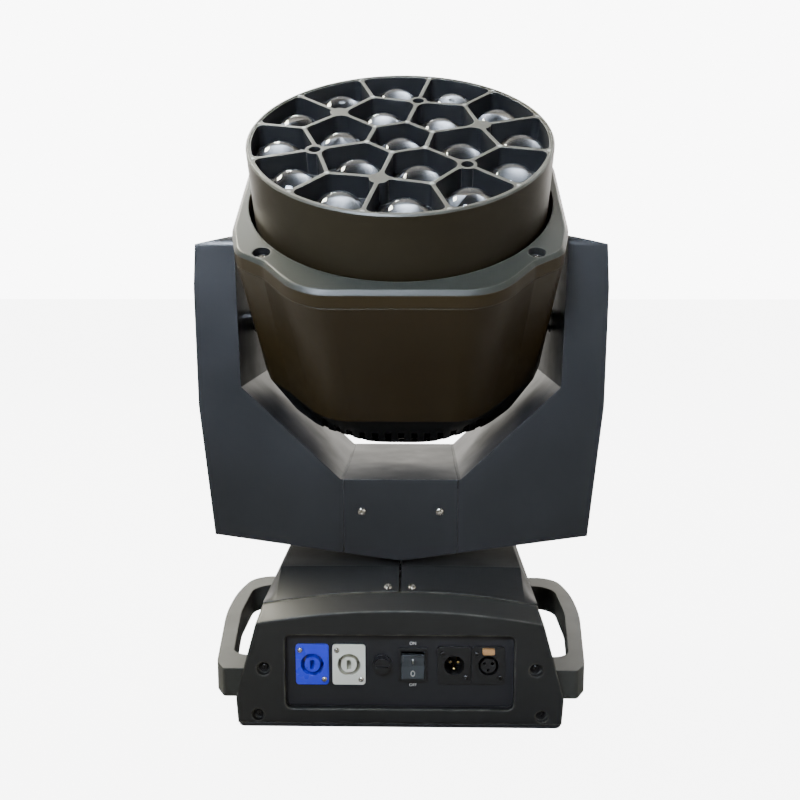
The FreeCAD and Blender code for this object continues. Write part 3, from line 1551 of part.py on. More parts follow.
# ---------------------------------------------------------------- checks and files
def home(item):
    """The label of the piece an object belongs to."""
    owner = item.getParentGeoFeatureGroup()
    return (owner or item).Label


failed = [f"{item.Name} in {home(item)}" for item in doc.Objects
          if {"Invalid", "Error"} & set(item.State)]
if failed:
    raise SystemExit("failed objects: " + ", ".join(failed))
pieces = [item for item in doc.Objects
          if item.TypeId in ("PartDesign::Body", "Part::Feature", "Part::Mirroring")
          and item.getParentGeoFeatureGroup() is None]
for piece in pieces:
    if piece.Shape.isNull() or not piece.Shape.isValid():
        raise SystemExit("bad shape: " + piece.Label)
os.makedirs("parts", exist_ok=True)
for piece in pieces:
    piece.Shape.exportStep(os.path.join("parts", piece.Label + ".step"))
print(len(pieces), "pieces")
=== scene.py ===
"""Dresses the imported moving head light: camera, soft light, materials and small pieces.

Lengths are in metres.  The object's frame has +Z up, the pan axis on Z and the connector
side facing -Y.  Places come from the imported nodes' boxes and from the few sizes below.
"""

import json
import math

import bmesh
import bpy
from mathutils import Matrix, Vector


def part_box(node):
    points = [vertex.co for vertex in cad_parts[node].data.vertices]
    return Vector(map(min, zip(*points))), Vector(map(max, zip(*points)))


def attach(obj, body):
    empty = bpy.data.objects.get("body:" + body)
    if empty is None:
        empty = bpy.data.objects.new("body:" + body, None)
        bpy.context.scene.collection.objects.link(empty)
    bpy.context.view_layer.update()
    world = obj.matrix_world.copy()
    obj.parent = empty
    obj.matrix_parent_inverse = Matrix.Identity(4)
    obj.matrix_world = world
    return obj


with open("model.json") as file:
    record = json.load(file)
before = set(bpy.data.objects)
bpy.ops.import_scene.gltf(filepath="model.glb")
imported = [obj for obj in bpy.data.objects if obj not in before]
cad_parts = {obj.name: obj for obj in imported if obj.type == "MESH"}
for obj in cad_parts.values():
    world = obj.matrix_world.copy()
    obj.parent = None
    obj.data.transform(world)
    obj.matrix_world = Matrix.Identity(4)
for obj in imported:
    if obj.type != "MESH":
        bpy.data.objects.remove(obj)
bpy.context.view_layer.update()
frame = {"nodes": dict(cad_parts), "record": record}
MM = 0.001

# ------------------------------------------------------------------ places and sizes
# The head's own frame is upright, with the lens axis on Z.
PIVOT = Vector((0, 0, 316 * MM))
TILT_REST = math.radians(34)
HEAD = Matrix.Translation(PIVOT) @ Matrix.Rotation(TILT_REST, 4, "X")
FRONT = Matrix.Rotation(math.radians(90), 4, "X")
HALF_TURN = Matrix.Rotation(math.pi, 4, "Z")

# The fascias' four bolts stand in wells, and the cap's screws on its slopes.
FASCIA_BOLTS = [(107 * MM, 48 * MM), (112 * MM, 9.5 * MM)]
FASCIA_WELL = 5.2 * MM
CAP_FOOT, CAP_TOP, CAP_RUN = 106.6 * MM, 116.5 * MM, 32 * MM
CAP_SCREW_X, CAP_SCREW_IN = 9.6 * MM, 4.5 * MM
COVER_SCREW_X, COVER_SCREW_Z = 32 * MM, 162 * MM

# The bezel's screws, the wells round them, and the height below which a well's faces are painted
# black as shade.
SCREW_X, SCREW_Y, SCREW_Z = 99.7 * MM, 82.5 * MM, 116 * MM
WELL_RADIUS, WELL_RIM = 6.8 * MM, 121.5 * MM
# Heights above which faces that look up the lens axis get painted light.
BEZEL_ABOVE, GRID_ABOVE = 100 * MM, 165 * MM

# Heads of the screws, across.
FASCIA_BOLT, CAP_SCREW, COVER_SCREW = 6.4 * MM, 6.6 * MM, 6.8 * MM
BEZEL_SCREW, FLANGE_SCREW = 7.0 * MM, 4.4 * MM

# The panel's sockets: their centre line, and their flanges' screw spacings.
SOCKET_Z = 50 * MM
FLANGE_HOLES = {"power_inlet": (19 * MM, 24 * MM), "power_outlet": (19 * MM, 24 * MM),
                "signal_inlet": (18.7 * MM, 19.7 * MM), "signal_outlet": (18.7 * MM, 19.7 * MM)}
PIN_CIRCLE, PIN_RADIUS, PIN_TIP = 3.6 * MM, 1.26 * MM, 0.9 * MM
CONTACT_BACK, CONTACT_FRONT = -14 * MM, -5 * MM
CONTACT_IN, CONTACT_OUT, CONTACT_HALF = 6.3 * MM, 7.0 * MM, 1.8 * MM

# The rocker: where it swings, how it lies at rest, and the lean of each half's face.
ROCKER_PIVOT_Y = -121.5 * MM
ROCKER_REST = math.radians(8)
ROCKER_FACE, ROCKER_LEAN = 4.15 * MM, math.atan2(1.4, 10.75)
PRINT_PROUD, PRINT_THICK = 0.02 * MM, 0.04 * MM
LETTER_HEIGHT, LETTER_GAP = 3.4 * MM, 3.4 * MM
ROCKER_PRINT, STROKE_HALF, STROKE_TALL = 0.08 * MM, 0.45 * MM, 2.4 * MM

# Nineteen lenses: one in the middle and two rings, all turned by the grid's phase.
GRID_PHASE = 18
LENS_RINGS = [(47 * MM, 6, 30), (92 * MM, 12, 15)]
LENS_SEAT, GRID_TOP = 149 * MM, 171.5 * MM
GRID_MARKS = [(112.4 * MM, 12, 0), (76 * MM, 6, 30), (26 * MM, 6, 0)]


def middle(node):
    low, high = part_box(node)
    return (low + high) / 2


def front_of(node):
    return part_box(node)[0].y


def polar(reach, degrees):
    """X and Y of the point at a distance and an angle."""
    angle = math.radians(degrees)
    return reach * math.cos(angle), reach * math.sin(angle)


def ring_of_spots(reach, count, start):
    """Evenly spaced X and Y round the lens axis, from an angle that counts from the phase."""
    return [polar(reach, GRID_PHASE + start + step * 360 / count) for step in range(count)]


def facing_front(x, y, z):
    """A place whose Z looks out of the connector side."""
    return Matrix.Translation((x, y, z)) @ FRONT


def on_head(x, y, z):
    """A place told in the head's own frame."""
    return HEAD @ Matrix.Translation((x, y, z))


def both_sides(place):
    """A place on the connector side and its twin on the display side."""
    return [place, HALF_TURN @ place]


# ------------------------------------------------------------------ shader helpers
def new_material(name):
    material = bpy.data.materials.new(name)
    material.use_nodes = True
    tree = material.node_tree
    return material, tree, tree.nodes["Principled BSDF"]


def feed(tree, socket, value):
    """Link a socket to the input, or set a plain value on it."""
    if isinstance(value, bpy.types.NodeSocket):
        tree.links.new(value, socket)
    else:
        socket.default_value = value


def add(tree, kind, **values):
    """A shader node; each value goes to the input of that name, or else the property."""
    node = tree.nodes.new("ShaderNode" + kind)
    for name, value in values.items():
        label = name.replace("_", " ")
        if label in node.inputs:
            feed(tree, node.inputs[label], value)
        else:
            setattr(node, name, value)
    return node


def pair(tree, kind, operation, first, second):
    """A maths node over two sources."""
    node = add(tree, kind, operation=operation)
    tree.links.new(first, node.inputs[0])
    tree.links.new(second, node.inputs[1])
    return node.outputs["Value"]


def noise(tree, scale, detail=3.0, stretch=(1, 1, 1)):
    """Noise over the piece's own coordinates, with the pattern stretched where asked."""
    place = add(tree, "TexCoord").outputs["Object"]
    mapped = add(tree, "Mapping", Vector=place, Scale=stretch).outputs["Vector"]
    return add(tree, "TexNoise", Vector=mapped, Scale=scale, Detail=detail).outputs["Fac"]


def ramp(tree, source, low, high, at=(0.0, 1.0)):
    """A colour ramp between two colours."""
    node = add(tree, "ValToRGB", Fac=source)
    ends = node.color_ramp.elements
    ends[0].position, ends[1].position = at
    ends[0].color = (*low, 1)
    ends[1].color = (*high, 1)
    return node.outputs["Color"]


def spread(tree, source, low, high, start=0.3, end=0.7):
    """The source's stretch from start to end, spread over low to high."""
    return add(tree, "MapRange", Value=source, From_Min=start, From_Max=end,
               To_Min=low, To_Max=high).outputs["Result"]


def over(tree, amount, under, colour):
    """A plain colour laid over another by an amount."""
    return add(tree, "Mix", data_type="RGBA", Factor=amount, A=under,
               B=(*colour, 1)).outputs["Result"]


def rounded(tree, radius):
    """The normal as if the piece's edges had this radius."""
    return add(tree, "Bevel", Radius=radius).outputs["Normal"]


def edge_mask(tree, soft):
    """Near 1 along the piece's edges, where the rounded normal leaves the face's own."""
    flat = add(tree, "NewGeometry").outputs["Normal"]
    return spread(tree, pair(tree, "VectorMath", "DOT_PRODUCT", soft, flat),
                  1.0, 0.0, 0.75, 0.995)


def grained(tree, shader, height, depth, strength, soft):
    """Fine relief on the surface, over the rounded normal."""
    bump = add(tree, "Bump", Height=height, Distance=depth, Strength=strength, Normal=soft)
    feed(tree, shader.inputs["Normal"], bump.outputs["Normal"])


# ------------------------------------------------------------------ kinds of material
CLOUDS, SCRAPES, PATCHES, SHEEN = 9.0, 60.0, 70.0, 35.0


def moulded(name, colour, second, rough, grain=0.00004, grain_scale=1500, wear=None,
            worn=0.35, streak=None, radius=0.0009):
    """Moulded or painted surface: fine grain, cloudy colour and lighter rubbed edges."""
    material, tree, shader = new_material(name)
    soft = rounded(tree, radius)
    base = ramp(tree, noise(tree, CLOUDS, 4.0), colour, second, (0.35, 0.7))
    if streak:
        scraped = spread(tree, noise(tree, SCRAPES, 2.0, streak), 0.0, 0.55, 0.66, 0.74)
        base = over(tree, scraped, base, [channel * 1.7 + 0.004 for channel in colour])
    if wear:
        patchy = spread(tree, noise(tree, PATCHES), 0.15, worn, 0.35, 0.65)
        rubbed = pair(tree, "Math", "MULTIPLY", edge_mask(tree, soft), patchy)
        base = over(tree, rubbed, base, wear)
    feed(tree, shader.inputs["Base Color"], base)
    gloss = spread(tree, noise(tree, SHEEN, 5.0), rough - 0.05, rough + 0.06)
    feed(tree, shader.inputs["Roughness"], gloss)
    grained(tree, shader, noise(tree, grain_scale, 2.0), grain, 0.6, soft)
    return material


def metal(name, colour, rough, stretch=(1, 1, 1)):
    """Bare metal with turning or brushing marks."""
    material, tree, shader = new_material(name)
    marks = noise(tree, 900, 3.0, stretch)
    dull = [channel * 0.8 for channel in colour]
    feed(tree, shader.inputs["Metallic"], 1.0)
    feed(tree, shader.inputs["Base Color"], ramp(tree, marks, dull, colour, (0.3, 0.7)))
    feed(tree, shader.inputs["Roughness"], spread(tree, marks, rough, rough + 0.15))
    grained(tree, shader, marks, 0.00002, 0.5, rounded(tree, 0.0004))
    return material


def clear(name):
    """Polished lens plastic, with a trace of dust that dulls it here and there."""
    material, tree, shader = new_material(name)
    tint = ramp(tree, noise(tree, 40.0), (0.93, 0.96, 0.97), (1, 1, 1))
    dust = spread(tree, noise(tree, 300.0, 5.0), 0.0, 0.03, 0.55, 0.8)
    feed(tree, shader.inputs["Transmission Weight"], 1.0)
    feed(tree, shader.inputs["IOR"], 1.49)
    feed(tree, shader.inputs["Base Color"], tint)
    feed(tree, shader.inputs["Roughness"], dust)
    return material


def dark_glass(name):
    """Dark glossy screen glass with faint smears."""
    material, tree, shader = new_material(name)
    tint = ramp(tree, noise(tree, 14.0), (0.006, 0.009, 0.014), (0.012, 0.016, 0.022))
    feed(tree, shader.inputs["Base Color"], tint)
    feed(tree, shader.inputs["Roughness"], spread(tree, noise(tree, 120.0, 4.0), 0.04, 0.14))
    return material


ARM = moulded("arm_plastic", (0.015, 0.016, 0.018), (0.020, 0.021, 0.024), 0.38,
              wear=(0.14, 0.14, 0.13))
BASE = moulded("base_plastic", (0.015, 0.015, 0.0145), (0.020, 0.020, 0.019), 0.45,
               wear=(0.20, 0.20, 0.17))
FASCIA = moulded("fascia_plastic", (0.016, 0.016, 0.0155), (0.021, 0.021, 0.020), 0.45,
                 wear=(0.26, 0.26, 0.21), worn=0.75, radius=0.0026)
HANDLE = moulded("handle_plastic", (0.038, 0.039, 0.033), (0.050, 0.051, 0.044), 0.5,
                 wear=(0.20, 0.20, 0.17), radius=0.0018)
HOOD = moulded("head_plastic", (0.031, 0.0195, 0.006), (0.039, 0.026, 0.009), 0.34,
               wear=(0.22, 0.22, 0.18), radius=0.0014)
# The bezel's faces that look up the lens axis: a lighter, greyer copy of the head plastic, as
# painted light falling on them from above.
PAINTED_LIGHT_BEZEL = moulded("bezel_painted_light", (0.024, 0.026, 0.021), (0.032, 0.034, 0.028), 0.38,
                wear=(0.30, 0.30, 0.25), radius=0.002)
TAIL = moulded("tail_plastic", (0.010, 0.010, 0.010), (0.014, 0.014, 0.014), 0.5)
DRUM = moulded("drum_plastic", (0.017, 0.012, 0.004), (0.023, 0.017, 0.007), 0.46,
               wear=(0.30, 0.30, 0.27), worn=0.6, streak=(0.15, 0.15, 4.0))
GRID = moulded("grid_plastic", (0.010, 0.011, 0.013), (0.015, 0.016, 0.018), 0.42,
               wear=(0.42, 0.42, 0.38), worn=0.8, radius=0.0007)
# The grid's and drum rim's up-facing tops: a lighter colour as painted highlight from the light
# above, with patchy rubbed wear on their edges.
PAINTED_LIGHT_TOPS = moulded("painted_light_tops", (0.045, 0.045, 0.036), (0.080, 0.080, 0.066), 0.38,
               wear=(0.42, 0.42, 0.38), worn=0.8, radius=0.0006)
PANEL = moulded("panel_paint", (0.018, 0.018, 0.020), (0.024, 0.024, 0.027), 0.5,
                grain=0.00006, grain_scale=2200)
BLACK = moulded("connector_black", (0.012, 0.012, 0.013), (0.018, 0.018, 0.018), 0.4,
                wear=(0.12, 0.12, 0.12), radius=0.0005)
BLUE = moulded("blue_plastic", (0.035, 0.050, 0.93), (0.045, 0.060, 0.97), 0.3,
               wear=(0.25, 0.32, 0.9), radius=0.0006)
WHITE = moulded("white_plastic", (0.93, 0.93, 0.82), (0.97, 0.97, 0.88), 0.3,
                wear=(0.95, 0.95, 0.9), radius=0.0006)
ROCKER = moulded("rocker_grey", (0.055, 0.063, 0.070), (0.070, 0.080, 0.088), 0.25,
                 wear=(0.2, 0.21, 0.22), radius=0.0006)
TAN = moulded("latch_tan", (0.62, 0.33, 0.14), (0.70, 0.40, 0.18), 0.4,
              wear=(0.8, 0.55, 0.3), radius=0.0006)
RUBBER = moulded("black_rubber", (0.012, 0.012, 0.012), (0.018, 0.018, 0.018), 0.75)
INK = moulded("mark_ink", (0.75, 0.75, 0.72), (0.85, 0.85, 0.82), 0.6)
BOARD = moulded("board_white", (0.70, 0.70, 0.70), (0.80, 0.80, 0.80), 0.4)
STEEL = metal("plain_steel", (0.55, 0.55, 0.56), 0.3, (1, 8, 1))
BRIGHT = metal("bright_steel", (0.75, 0.75, 0.74), 0.14)
NICKEL = metal("nickel_screw", (0.72, 0.69, 0.62), 0.16)
DARK_SCREW = metal("black_screw", (0.09, 0.09, 0.09), 0.3)
ALLOY = metal("plain_aluminium", (0.70, 0.70, 0.72), 0.28, (1, 1, 6))
GOLD = metal("gold_contact", (0.83, 0.62, 0.22), 0.15)
REFLECTOR = metal("reflector", (0.34, 0.36, 0.40), 0.28)
MOTOR = moulded("motor_black", (0.015, 0.015, 0.015), (0.022, 0.022, 0.022), 0.4,
                wear=(0.2, 0.2, 0.2))
MARKS = moulded("mark_plastic", (0.26, 0.27, 0.25), (0.34, 0.35, 0.32), 0.4)
LENS = clear("lens_glass")
SCREEN = dark_glass("screen_glass")

SLOT_MATERIALS = {
    "base_plastic": BASE, "handle_plastic": HANDLE, "arm_plastic": ARM, "head_plastic": HOOD,
    "tail_plastic": TAIL, "drum_plastic": DRUM, "grid_plastic": GRID, "lens_glass": LENS,
    "black_steel": PANEL, "plain_steel": STEEL, "bright_steel": BRIGHT,
    "plain_aluminium": ALLOY, "motor_black": MOTOR, "black_rubber": RUBBER,
    "blue_plastic": BLUE, "white_plastic": WHITE, "connector_black": BLACK,
    "rocker_grey": ROCKER, "latch_tan": TAN, "screen_glass": SCREEN, "board_white": BOARD,
}
OWN_MATERIALS = {"front_fascia": FASCIA, "rear_fascia": FASCIA}


# ------------------------------------------------------------------ painting the CAD nodes
def paint_nodes():
    """Give every node its material, then paint light on the faces of the bezel, grid and drum rim
    that look up the lens axis, and shade in the bezel's screw wells.
    """
    for part in frame["record"]["subparts"]:
        name = part["node"]
        mesh = frame["nodes"][name].data
        mesh.materials.clear()
        mesh.materials.append(OWN_MATERIALS.get(name, SLOT_MATERIALS[part["material_slot"]]))
        for polygon in mesh.polygons:
            polygon.material_index = 0
    # Painted light: the bezel's faces that look up the lens axis get a lighter copy of the head
    # plastic.
    paint_faces("head_bezel", PAINTED_LIGHT_BEZEL, looks_up(0.6, BEZEL_ABOVE))
    # Painted shade: the walls and floors of the bezel's screw wells get the near-black connector
    # material.
    paint_faces("head_bezel", BLACK, well_in_painted_shade)
    # Painted highlight: the grid's and drum rim's faces that look up the lens axis get a lighter
    # material.
    paint_faces("honeycomb_grid", PAINTED_LIGHT_TOPS, looks_up(0.7, GRID_ABOVE))
    paint_faces("lens_drum", PAINTED_LIGHT_TOPS, looks_up(0.5, GRID_ABOVE))


def paint_faces(name, material, chosen):
    """One more material, on the faces that a test picks by their place on the head."""
    mesh = frame["nodes"][name].data
    index = len(mesh.materials)
    mesh.materials.append(material)
    to_head = HEAD.inverted()
    for polygon in mesh.polygons:
        if chosen(to_head @ polygon.center, to_head.to_3x3() @ polygon.normal):
            polygon.material_index = index


def looks_up(least, above):
    """A test for faces that look along the lens axis, above one height."""
    return lambda spot, normal: normal.z > least and spot.z > above


def well_in_painted_shade(spot, normal):
    """Walls and floors of the bezel's four screw wells, painted black as shade."""
    away = math.hypot(abs(spot.x) - SCREW_X, abs(spot.y) - SCREW_Y)
    return away < WELL_RADIUS and spot.z < WELL_RIM


# ------------------------------------------------------------------ mesh helpers
def add_piece(name, bm, material, body):
    """Turn a bmesh into a piece that rides on a body."""
    bmesh.ops.recalc_face_normals(bm, faces=bm.faces)
    mesh = bpy.data.meshes.new(name)
    bm.to_mesh(mesh)
    bm.free()
    mesh.materials.append(material)
    thing = bpy.data.objects.new(name, mesh)
    bpy.context.scene.collection.objects.link(thing)
    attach(thing, body)


def loop_of(bm, outline, height, place):
    """Vertices along a flat outline at one height."""
    return [bm.verts.new(place @ Vector((x, y, height))) for x, y in outline]


def circle(radius, steps, lag=0):
    """Points round a circle, the first so many steps before the X axis."""
    return [polar(radius, 360 * (k - lag) / steps) for k in range(steps)]


def bridge(bm, low, high):
    """Faces between two loops; a loop of one vertex closes the end."""
    steps = max(len(low), len(high))
    for k in range(steps):
        after = (k + 1) % steps
        corners = [low[k % len(low)], low[after % len(low)],
                   high[after % len(high)], high[k % len(high)]]
        unique = list(dict.fromkeys(corners))
        if len(unique) > 2:
            bm.faces.new(unique)


def lathe(bm, profile, steps, place):
    """Turn (radius, height) points about Z; a radius of zero closes the end."""
    rows = [loop_of(bm, circle(radius, steps if radius else 1), height, place)
            for radius, height in profile]
    for low, high in zip(rows, rows[1:]):
        bridge(bm, low, high)
    for face in bm.faces:
        face.smooth = True


def slab(bm, left, right, half_tall, back, front, place):
    """A small block, level with its place from top to bottom."""
    outline = [(left, -half_tall), (right, -half_tall), (right, half_tall), (left, half_tall)]
    bottom = loop_of(bm, outline, back, place)
    top = loop_of(bm, outline, front, place)
    bm.faces.new(top)
    bm.faces.new(list(reversed(bottom)))
    bridge(bm, bottom, top)


# ------------------------------------------------------------------ screws
HEAD_STEPS = 24
HEAD_RISE = 0.3                     # of the width across
DOME = [(1, 0), (1, 0.35), (0.86, 0.75), (0.62, 1)]     # of the radius, of the rise
CROSS_REACH, CROSS_HALF, CROSS_DRAFT, CROSS_FLOOR = 0.52, 0.13, 0.8, 0.25


def cross_outline(reach, half):
    """A cross with twelve corners, from the right-hand arm's lower corner."""
    return [(reach, -half), (reach, half), (half, half), (half, reach), (-half, reach),
            (-half, half), (-reach, half), (-reach, -half), (-half, -half), (-half, -reach),
            (half, -reach), (half, -half)]


def screw_head(bm, across, place):
    """A domed head with a cross recess, its underside at the place's origin."""
    radius, rise = across / 2, across * HEAD_RISE
    rings = [loop_of(bm, circle(radius * wide, HEAD_STEPS, lag=1), rise * high, place)
             for wide, high in DOME]
    for low, high in zip(rings, rings[1:]):
        bridge(bm, low, high)
    cross = cross_outline(radius * CROSS_REACH, radius * CROSS_HALF)
    narrow = [(x * CROSS_DRAFT, y * CROSS_DRAFT) for x, y in cross]
    rim = loop_of(bm, cross, rise, place)
    pit = loop_of(bm, narrow, rise * CROSS_FLOOR, place)
    top = rings[-1]
    for k in range(len(rim)):
        after = (k + 1) % len(rim)
        bm.faces.new([rim[k], rim[after], top[(2 * k + 2) % HEAD_STEPS],
                      top[(2 * k + 1) % HEAD_STEPS], top[2 * k]])
        bm.faces.new([rim[after], rim[k], pit[k], pit[after]])
    bm.faces.new(pit)


def screws(name, places, across, material, body):
    """Screw heads in one piece, each turned a little further than the last."""
    bm = bmesh.new()
    for index, place in enumerate(places):
        screw_head(bm, across, place @ Matrix.Rotation(0.5 + index * 0.9, 4, "Z"))
    add_piece(name, bm, material, body)


def fascia_bolts():
    face = front_of("front_fascia") + FASCIA_WELL
    places = []
    for x, z in FASCIA_BOLTS:
        for side in (-1, 1):
            places += both_sides(facing_front(x * side, face, z))
    screws("fascia_bolts", places, FASCIA_BOLT, DARK_SCREW, "base")


def cap_screws():
    """Two screws on each slope of the cap, square to it."""
    lean = math.atan2(CAP_TOP - CAP_FOOT, CAP_RUN)
    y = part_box("top_cover_left")[0].y + CAP_SCREW_IN
    z = CAP_FOOT + CAP_SCREW_IN * math.tan(lean)
    places = []
    for side in (-1, 1):
        flat = Matrix.Translation((CAP_SCREW_X * side, y, z))
        places += both_sides(flat @ Matrix.Rotation(lean, 4, "X"))
    screws("cap_screws", places, CAP_SCREW, NICKEL, "base")


def centre_cover_screws():
    face = front_of("centre_cover")
    places = []
    for side in (-1, 1):
        places += both_sides(facing_front(COVER_SCREW_X * side, face, COVER_SCREW_Z))
    screws("centre_cover_screws", places, COVER_SCREW, NICKEL, "yoke")


def bezel_screws():
    places = [on_head(SCREW_X * x, SCREW_Y * y, SCREW_Z) for x in (-1, 1) for y in (-1, 1)]
    screws("bezel_screws", places, BEZEL_SCREW, NICKEL, "head")


def flange_screws():
    """Two screws at opposite corners of each connector's flange."""
    for node, (wide, high) in FLANGE_HOLES.items():
        x = middle(node).x
        face = front_of(node)
        places = [facing_front(x + wide / 2 * way, face, SOCKET_Z - high / 2 * way)
                  for way in (-1, 1)]
        material = DARK_SCREW if "signal" in node else NICKEL
        screws(node + "_screws", places, FLANGE_SCREW, material, "base")


# ------------------------------------------------------------------ marks
def mark(name, words, x, z, face, body):
    """Printed letters, standing a hair proud of the face that they are on."""
    curve = bpy.data.curves.new(name, "FONT")
    curve.body = words
    curve.size = LETTER_HEIGHT
    curve.align_x = "CENTER"
    curve.align_y = "CENTER"
    curve.extrude = PRINT_THICK
    letters = bpy.data.objects.new(name, curve)
    bpy.context.scene.collection.objects.link(letters)
    letters.matrix_world = facing_front(x, face, z)
    curve.materials.append(INK)
    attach(letters, body)


def panel_marks():
    """ON above the switch and OFF below it."""
    low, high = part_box("switch_housing")
    x = (low.x + high.x) / 2
    face = front_of("connector_panel") - PRINT_PROUD
    mark("mark_on", "ON", x, high.z + LETTER_GAP, face, "base")
    mark("mark_off", "OFF", x, low.z - LETTER_GAP, face, "base")


def rocker_marks():
    """A stroke on the rocker's upper half and a ring on its lower one."""
    low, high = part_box("switch_rocker")
    pivot = Vector((middle("switch_housing").x, ROCKER_PIVOT_Y, (low.z + high.z) / 2))
    rest = Matrix.Translation(pivot) @ Matrix.Rotation(ROCKER_REST, 4, "X")

    def on_half(way):
        centre = Matrix.Translation((0, -ROCKER_FACE, way * (high.z - low.z) / 4))
        return rest @ centre @ Matrix.Rotation(way * ROCKER_LEAN, 4, "X") @ FRONT

    bm = bmesh.new()
    slab(bm, -STROKE_HALF, STROKE_HALF, STROKE_TALL, 0, ROCKER_PRINT, on_half(1))
    inner, outer = 1.5 * MM, 2.2 * MM
    ring = [(inner, 0), (inner, ROCKER_PRINT), (outer, ROCKER_PRINT), (outer, 0)]
    lathe(bm, ring, 24, on_half(-1) @ Matrix.Diagonal((0.8, 1.15, 1, 1)))
    add_piece("rocker_marks", bm, INK, "rocker")


# ------------------------------------------------------------------ connectors
def signal_pins():
    """Gold tips over the three male pins."""
    centre = middle("signal_inlet")
    face = front_of("signal_inlet")
    tip = [(PIN_RADIUS, -14 * MM), (PIN_RADIUS, -2.6 * MM), (PIN_TIP, -1.9 * MM), (0, -1.7 * MM)]
    bm = bmesh.new()
    for x, z in (polar(PIN_CIRCLE, degrees) for degrees in (30, 150, 270)):
        lathe(bm, tip, 16, facing_front(centre.x + x, face, SOCKET_Z + z))
    add_piece("signal_pins", bm, GOLD, "base")


def mains_contacts():
    """Three blades round the well of each mains connector."""
    for node in ("power_inlet", "power_outlet"):
        socket = facing_front(middle(node).x, front_of(node), SOCKET_Z)
        bm = bmesh.new()
        for degrees in (40, 160, 280):
            slab(bm, CONTACT_IN, CONTACT_OUT, CONTACT_HALF, CONTACT_BACK, CONTACT_FRONT,
                 socket @ Matrix.Rotation(math.radians(degrees), 4, "Z"))
        add_piece(node + "_contacts", bm, NICKEL, "base")


# ------------------------------------------------------------------ lens head
def lens_cups():
    """A polished cup under each lens, seen bent and stretched through it."""
    cup = [(18.5 * MM, -0.6 * MM), (16 * MM, -8 * MM), (11 * MM, -18 * MM), (6 * MM, -26 * MM),
           (0, -27 * MM)]
    spots = [(0, 0)]
    for reach, count, start in LENS_RINGS:
        spots += ring_of_spots(reach, count, start)
    bm = bmesh.new()
    for x, y in spots:
        lathe(bm, cup, 32, on_head(x, y, LENS_SEAT))
    add_piece("lens_cups", bm, REFLECTOR, "lens_head")


def grid_marks():
    """Round witness marks of the mould on the knots and rim of the grid."""
    button = [(1.7 * MM, -0.3 * MM), (1.7 * MM, 0.10 * MM), (1.4 * MM, 0.22 * MM),
              (0, 0.22 * MM)]
    bm = bmesh.new()
    for reach, count, start in GRID_MARKS:
        for x, y in ring_of_spots(reach, count, start):
            lathe(bm, button, 16, on_head(x, y, GRID_TOP))
    add_piece("grid_marks", bm, MARKS, "lens_head")


# ------------------------------------------------------------------ stage
def area_light(name, place, target, size, power, colour, fan=180):
    """A rectangular lamp that looks at a target; fan is how far its light spreads."""
    lamp = bpy.data.lights.new(name, "AREA")
    lamp.shape = "RECTANGLE"
    lamp.size, lamp.size_y = size
    lamp.energy = power
    lamp.color = colour
    lamp.spread = math.radians(fan)
    holder = bpy.data.objects.new(name, lamp)
    bpy.context.scene.collection.objects.link(holder)
    holder.location = place
    holder.rotation_euler = (Vector(target) - Vector(place)).to_track_quat("-Z", "Y").to_euler()


def lamps():
    """A warm key above on the left, a cool one on the front's upper half, and soft fills."""
    area_light("key", (-1.1, 0.3, 1.7), (0, 0, 0.35), (0.6, 0.35), 60, (1.0, 0.96, 0.80))
    area_light("front_cool", (-0.42, -1.4, 1.3), (-0.01, 0, 0.48), (0.8, 0.4), 5.4,
               (0.76, 0.85, 1.0), fan=36)
    area_light("front_fill", (0.5, -2.6, 1.0), (0, 0, 0.2), (1.6, 0.8), 0.5, (1.0, 0.90, 0.72))
    area_light("side_fill", (1.6, -1.3, 0.6), (0, 0, 0.38), (0.7, 0.7), 7, (1.0, 0.97, 0.9))
    area_light("glint", (-0.45, 1.1, 1.6), (0, 0, 0.42), (0.26, 0.13), 11, (1.0, 0.99, 0.92))
    area_light("back_left", (-1.2, 1.8, 1.0), (0, 0, 0.3), (0.9, 0.9), 15, (1.0, 0.95, 0.92))
    area_light("back_right", (1.3, 1.6, 1.0), (0, 0, 0.3), (0.9, 0.9), 12, (1.0, 0.95, 0.92))


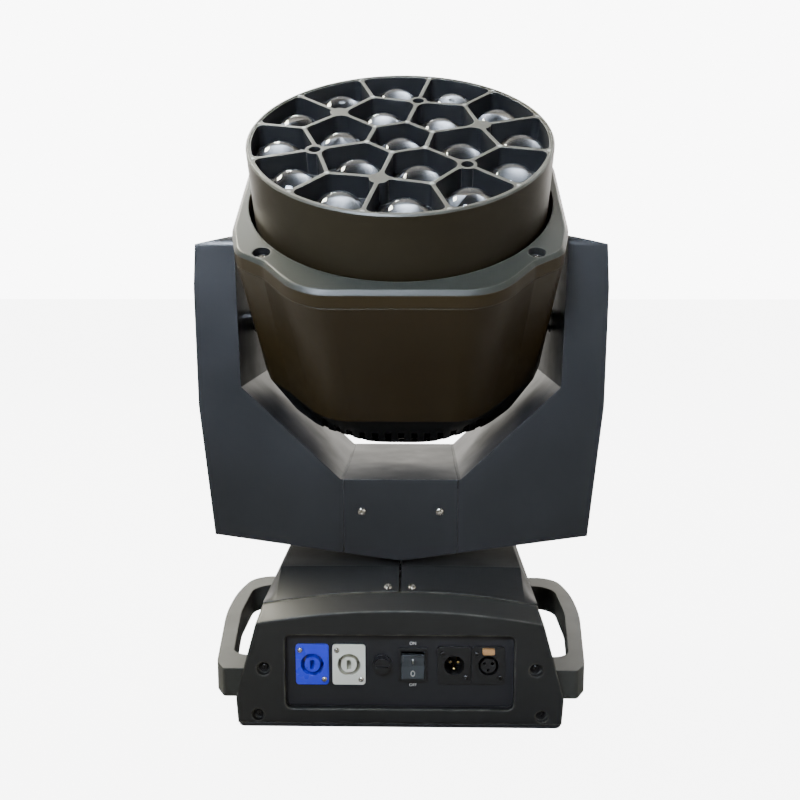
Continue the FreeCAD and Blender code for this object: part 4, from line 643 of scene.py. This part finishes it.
def surroundings():
    """White to the camera; to the object, dim in front and brighter behind."""
    world = bpy.data.worlds.new("studio")
    bpy.context.scene.world = world
    world.use_nodes = True
    tree = world.node_tree
    seen = tree.nodes["Background"]
    feed(tree, seen.inputs["Color"], (1, 1, 1, 1))
    feed(tree, seen.inputs["Strength"], 9.0)
    way = add(tree, "SeparateXYZ", Vector=add(tree, "TexCoord").outputs["Generated"])
    behind = spread(tree, way.outputs["Y"], 0.0, 1.0, -0.35, 0.75)
    unseen = add(tree, "Background", Color=ramp(tree, behind, (1.0, 0.93, 0.82), (1.0, 0.97, 0.9)),
                 Strength=spread(tree, behind, 0.03, 1.9, 0.0, 1.0))
    mixed = add(tree, "MixShader", Fac=add(tree, "LightPath").outputs["Is Camera Ray"])
    feed(tree, mixed.inputs[1], unseen.outputs["Background"])
    feed(tree, mixed.inputs[2], seen.outputs["Background"])
    feed(tree, tree.nodes["World Output"].inputs["Surface"], mixed.outputs["Shader"])


def ground():
    """A pale floor that the feet stand on, white to the camera."""
    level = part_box("rubber_feet")[0].z
    reach = 12.0
    bm = bmesh.new()
    square = [(-reach, -reach), (reach, -reach), (reach, reach), (-reach, reach)]
    bm.faces.new(loop_of(bm, square, level, Matrix.Identity(4)))
    mesh = bpy.data.meshes.new("floor")
    bm.to_mesh(mesh)
    bm.free()
    material, tree, shader = new_material("pale_floor")
    tint = ramp(tree, noise(tree, 1.5), (0.17, 0.17, 0.17), (0.19, 0.19, 0.19))
    to_camera = add(tree, "LightPath").outputs["Is Camera Ray"]
    feed(tree, shader.inputs["Base Color"], tint)
    feed(tree, shader.inputs["Roughness"], 0.8)
    feed(tree, shader.inputs["Emission Color"], (1, 1, 1, 1))
    feed(tree, shader.inputs["Emission Strength"], spread(tree, to_camera, 0.0, 7.0, 0.0, 1.0))
    mesh.materials.append(material)
    floor = bpy.data.objects.new("floor", mesh)
    bpy.context.scene.collection.objects.link(floor)


def camera():
    """The photograph's viewpoint: a little right of centre, looking slightly down."""
    look_down, look_left = 8.11, 1.0
    lens = bpy.data.cameras.new("camera")
    lens.lens = 39.8
    lens.sensor_width = 36.0
    lens.shift_x = -0.003
    view = bpy.data.objects.new("camera", lens)
    bpy.context.scene.collection.objects.link(view)
    view.location = (0.0138, -0.7849, 0.3555)
    view.rotation_euler = (math.radians(90 - look_down), 0, math.radians(look_left))
    bpy.context.scene.camera = view


# ------------------------------------------------------------------ assembly
paint_nodes()
fascia_bolts()
cap_screws()
centre_cover_screws()
bezel_screws()
flange_screws()
panel_marks()
rocker_marks()
signal_pins()
mains_contacts()
lens_cups()
grid_marks()
lamps()
surroundings()
ground()
camera()
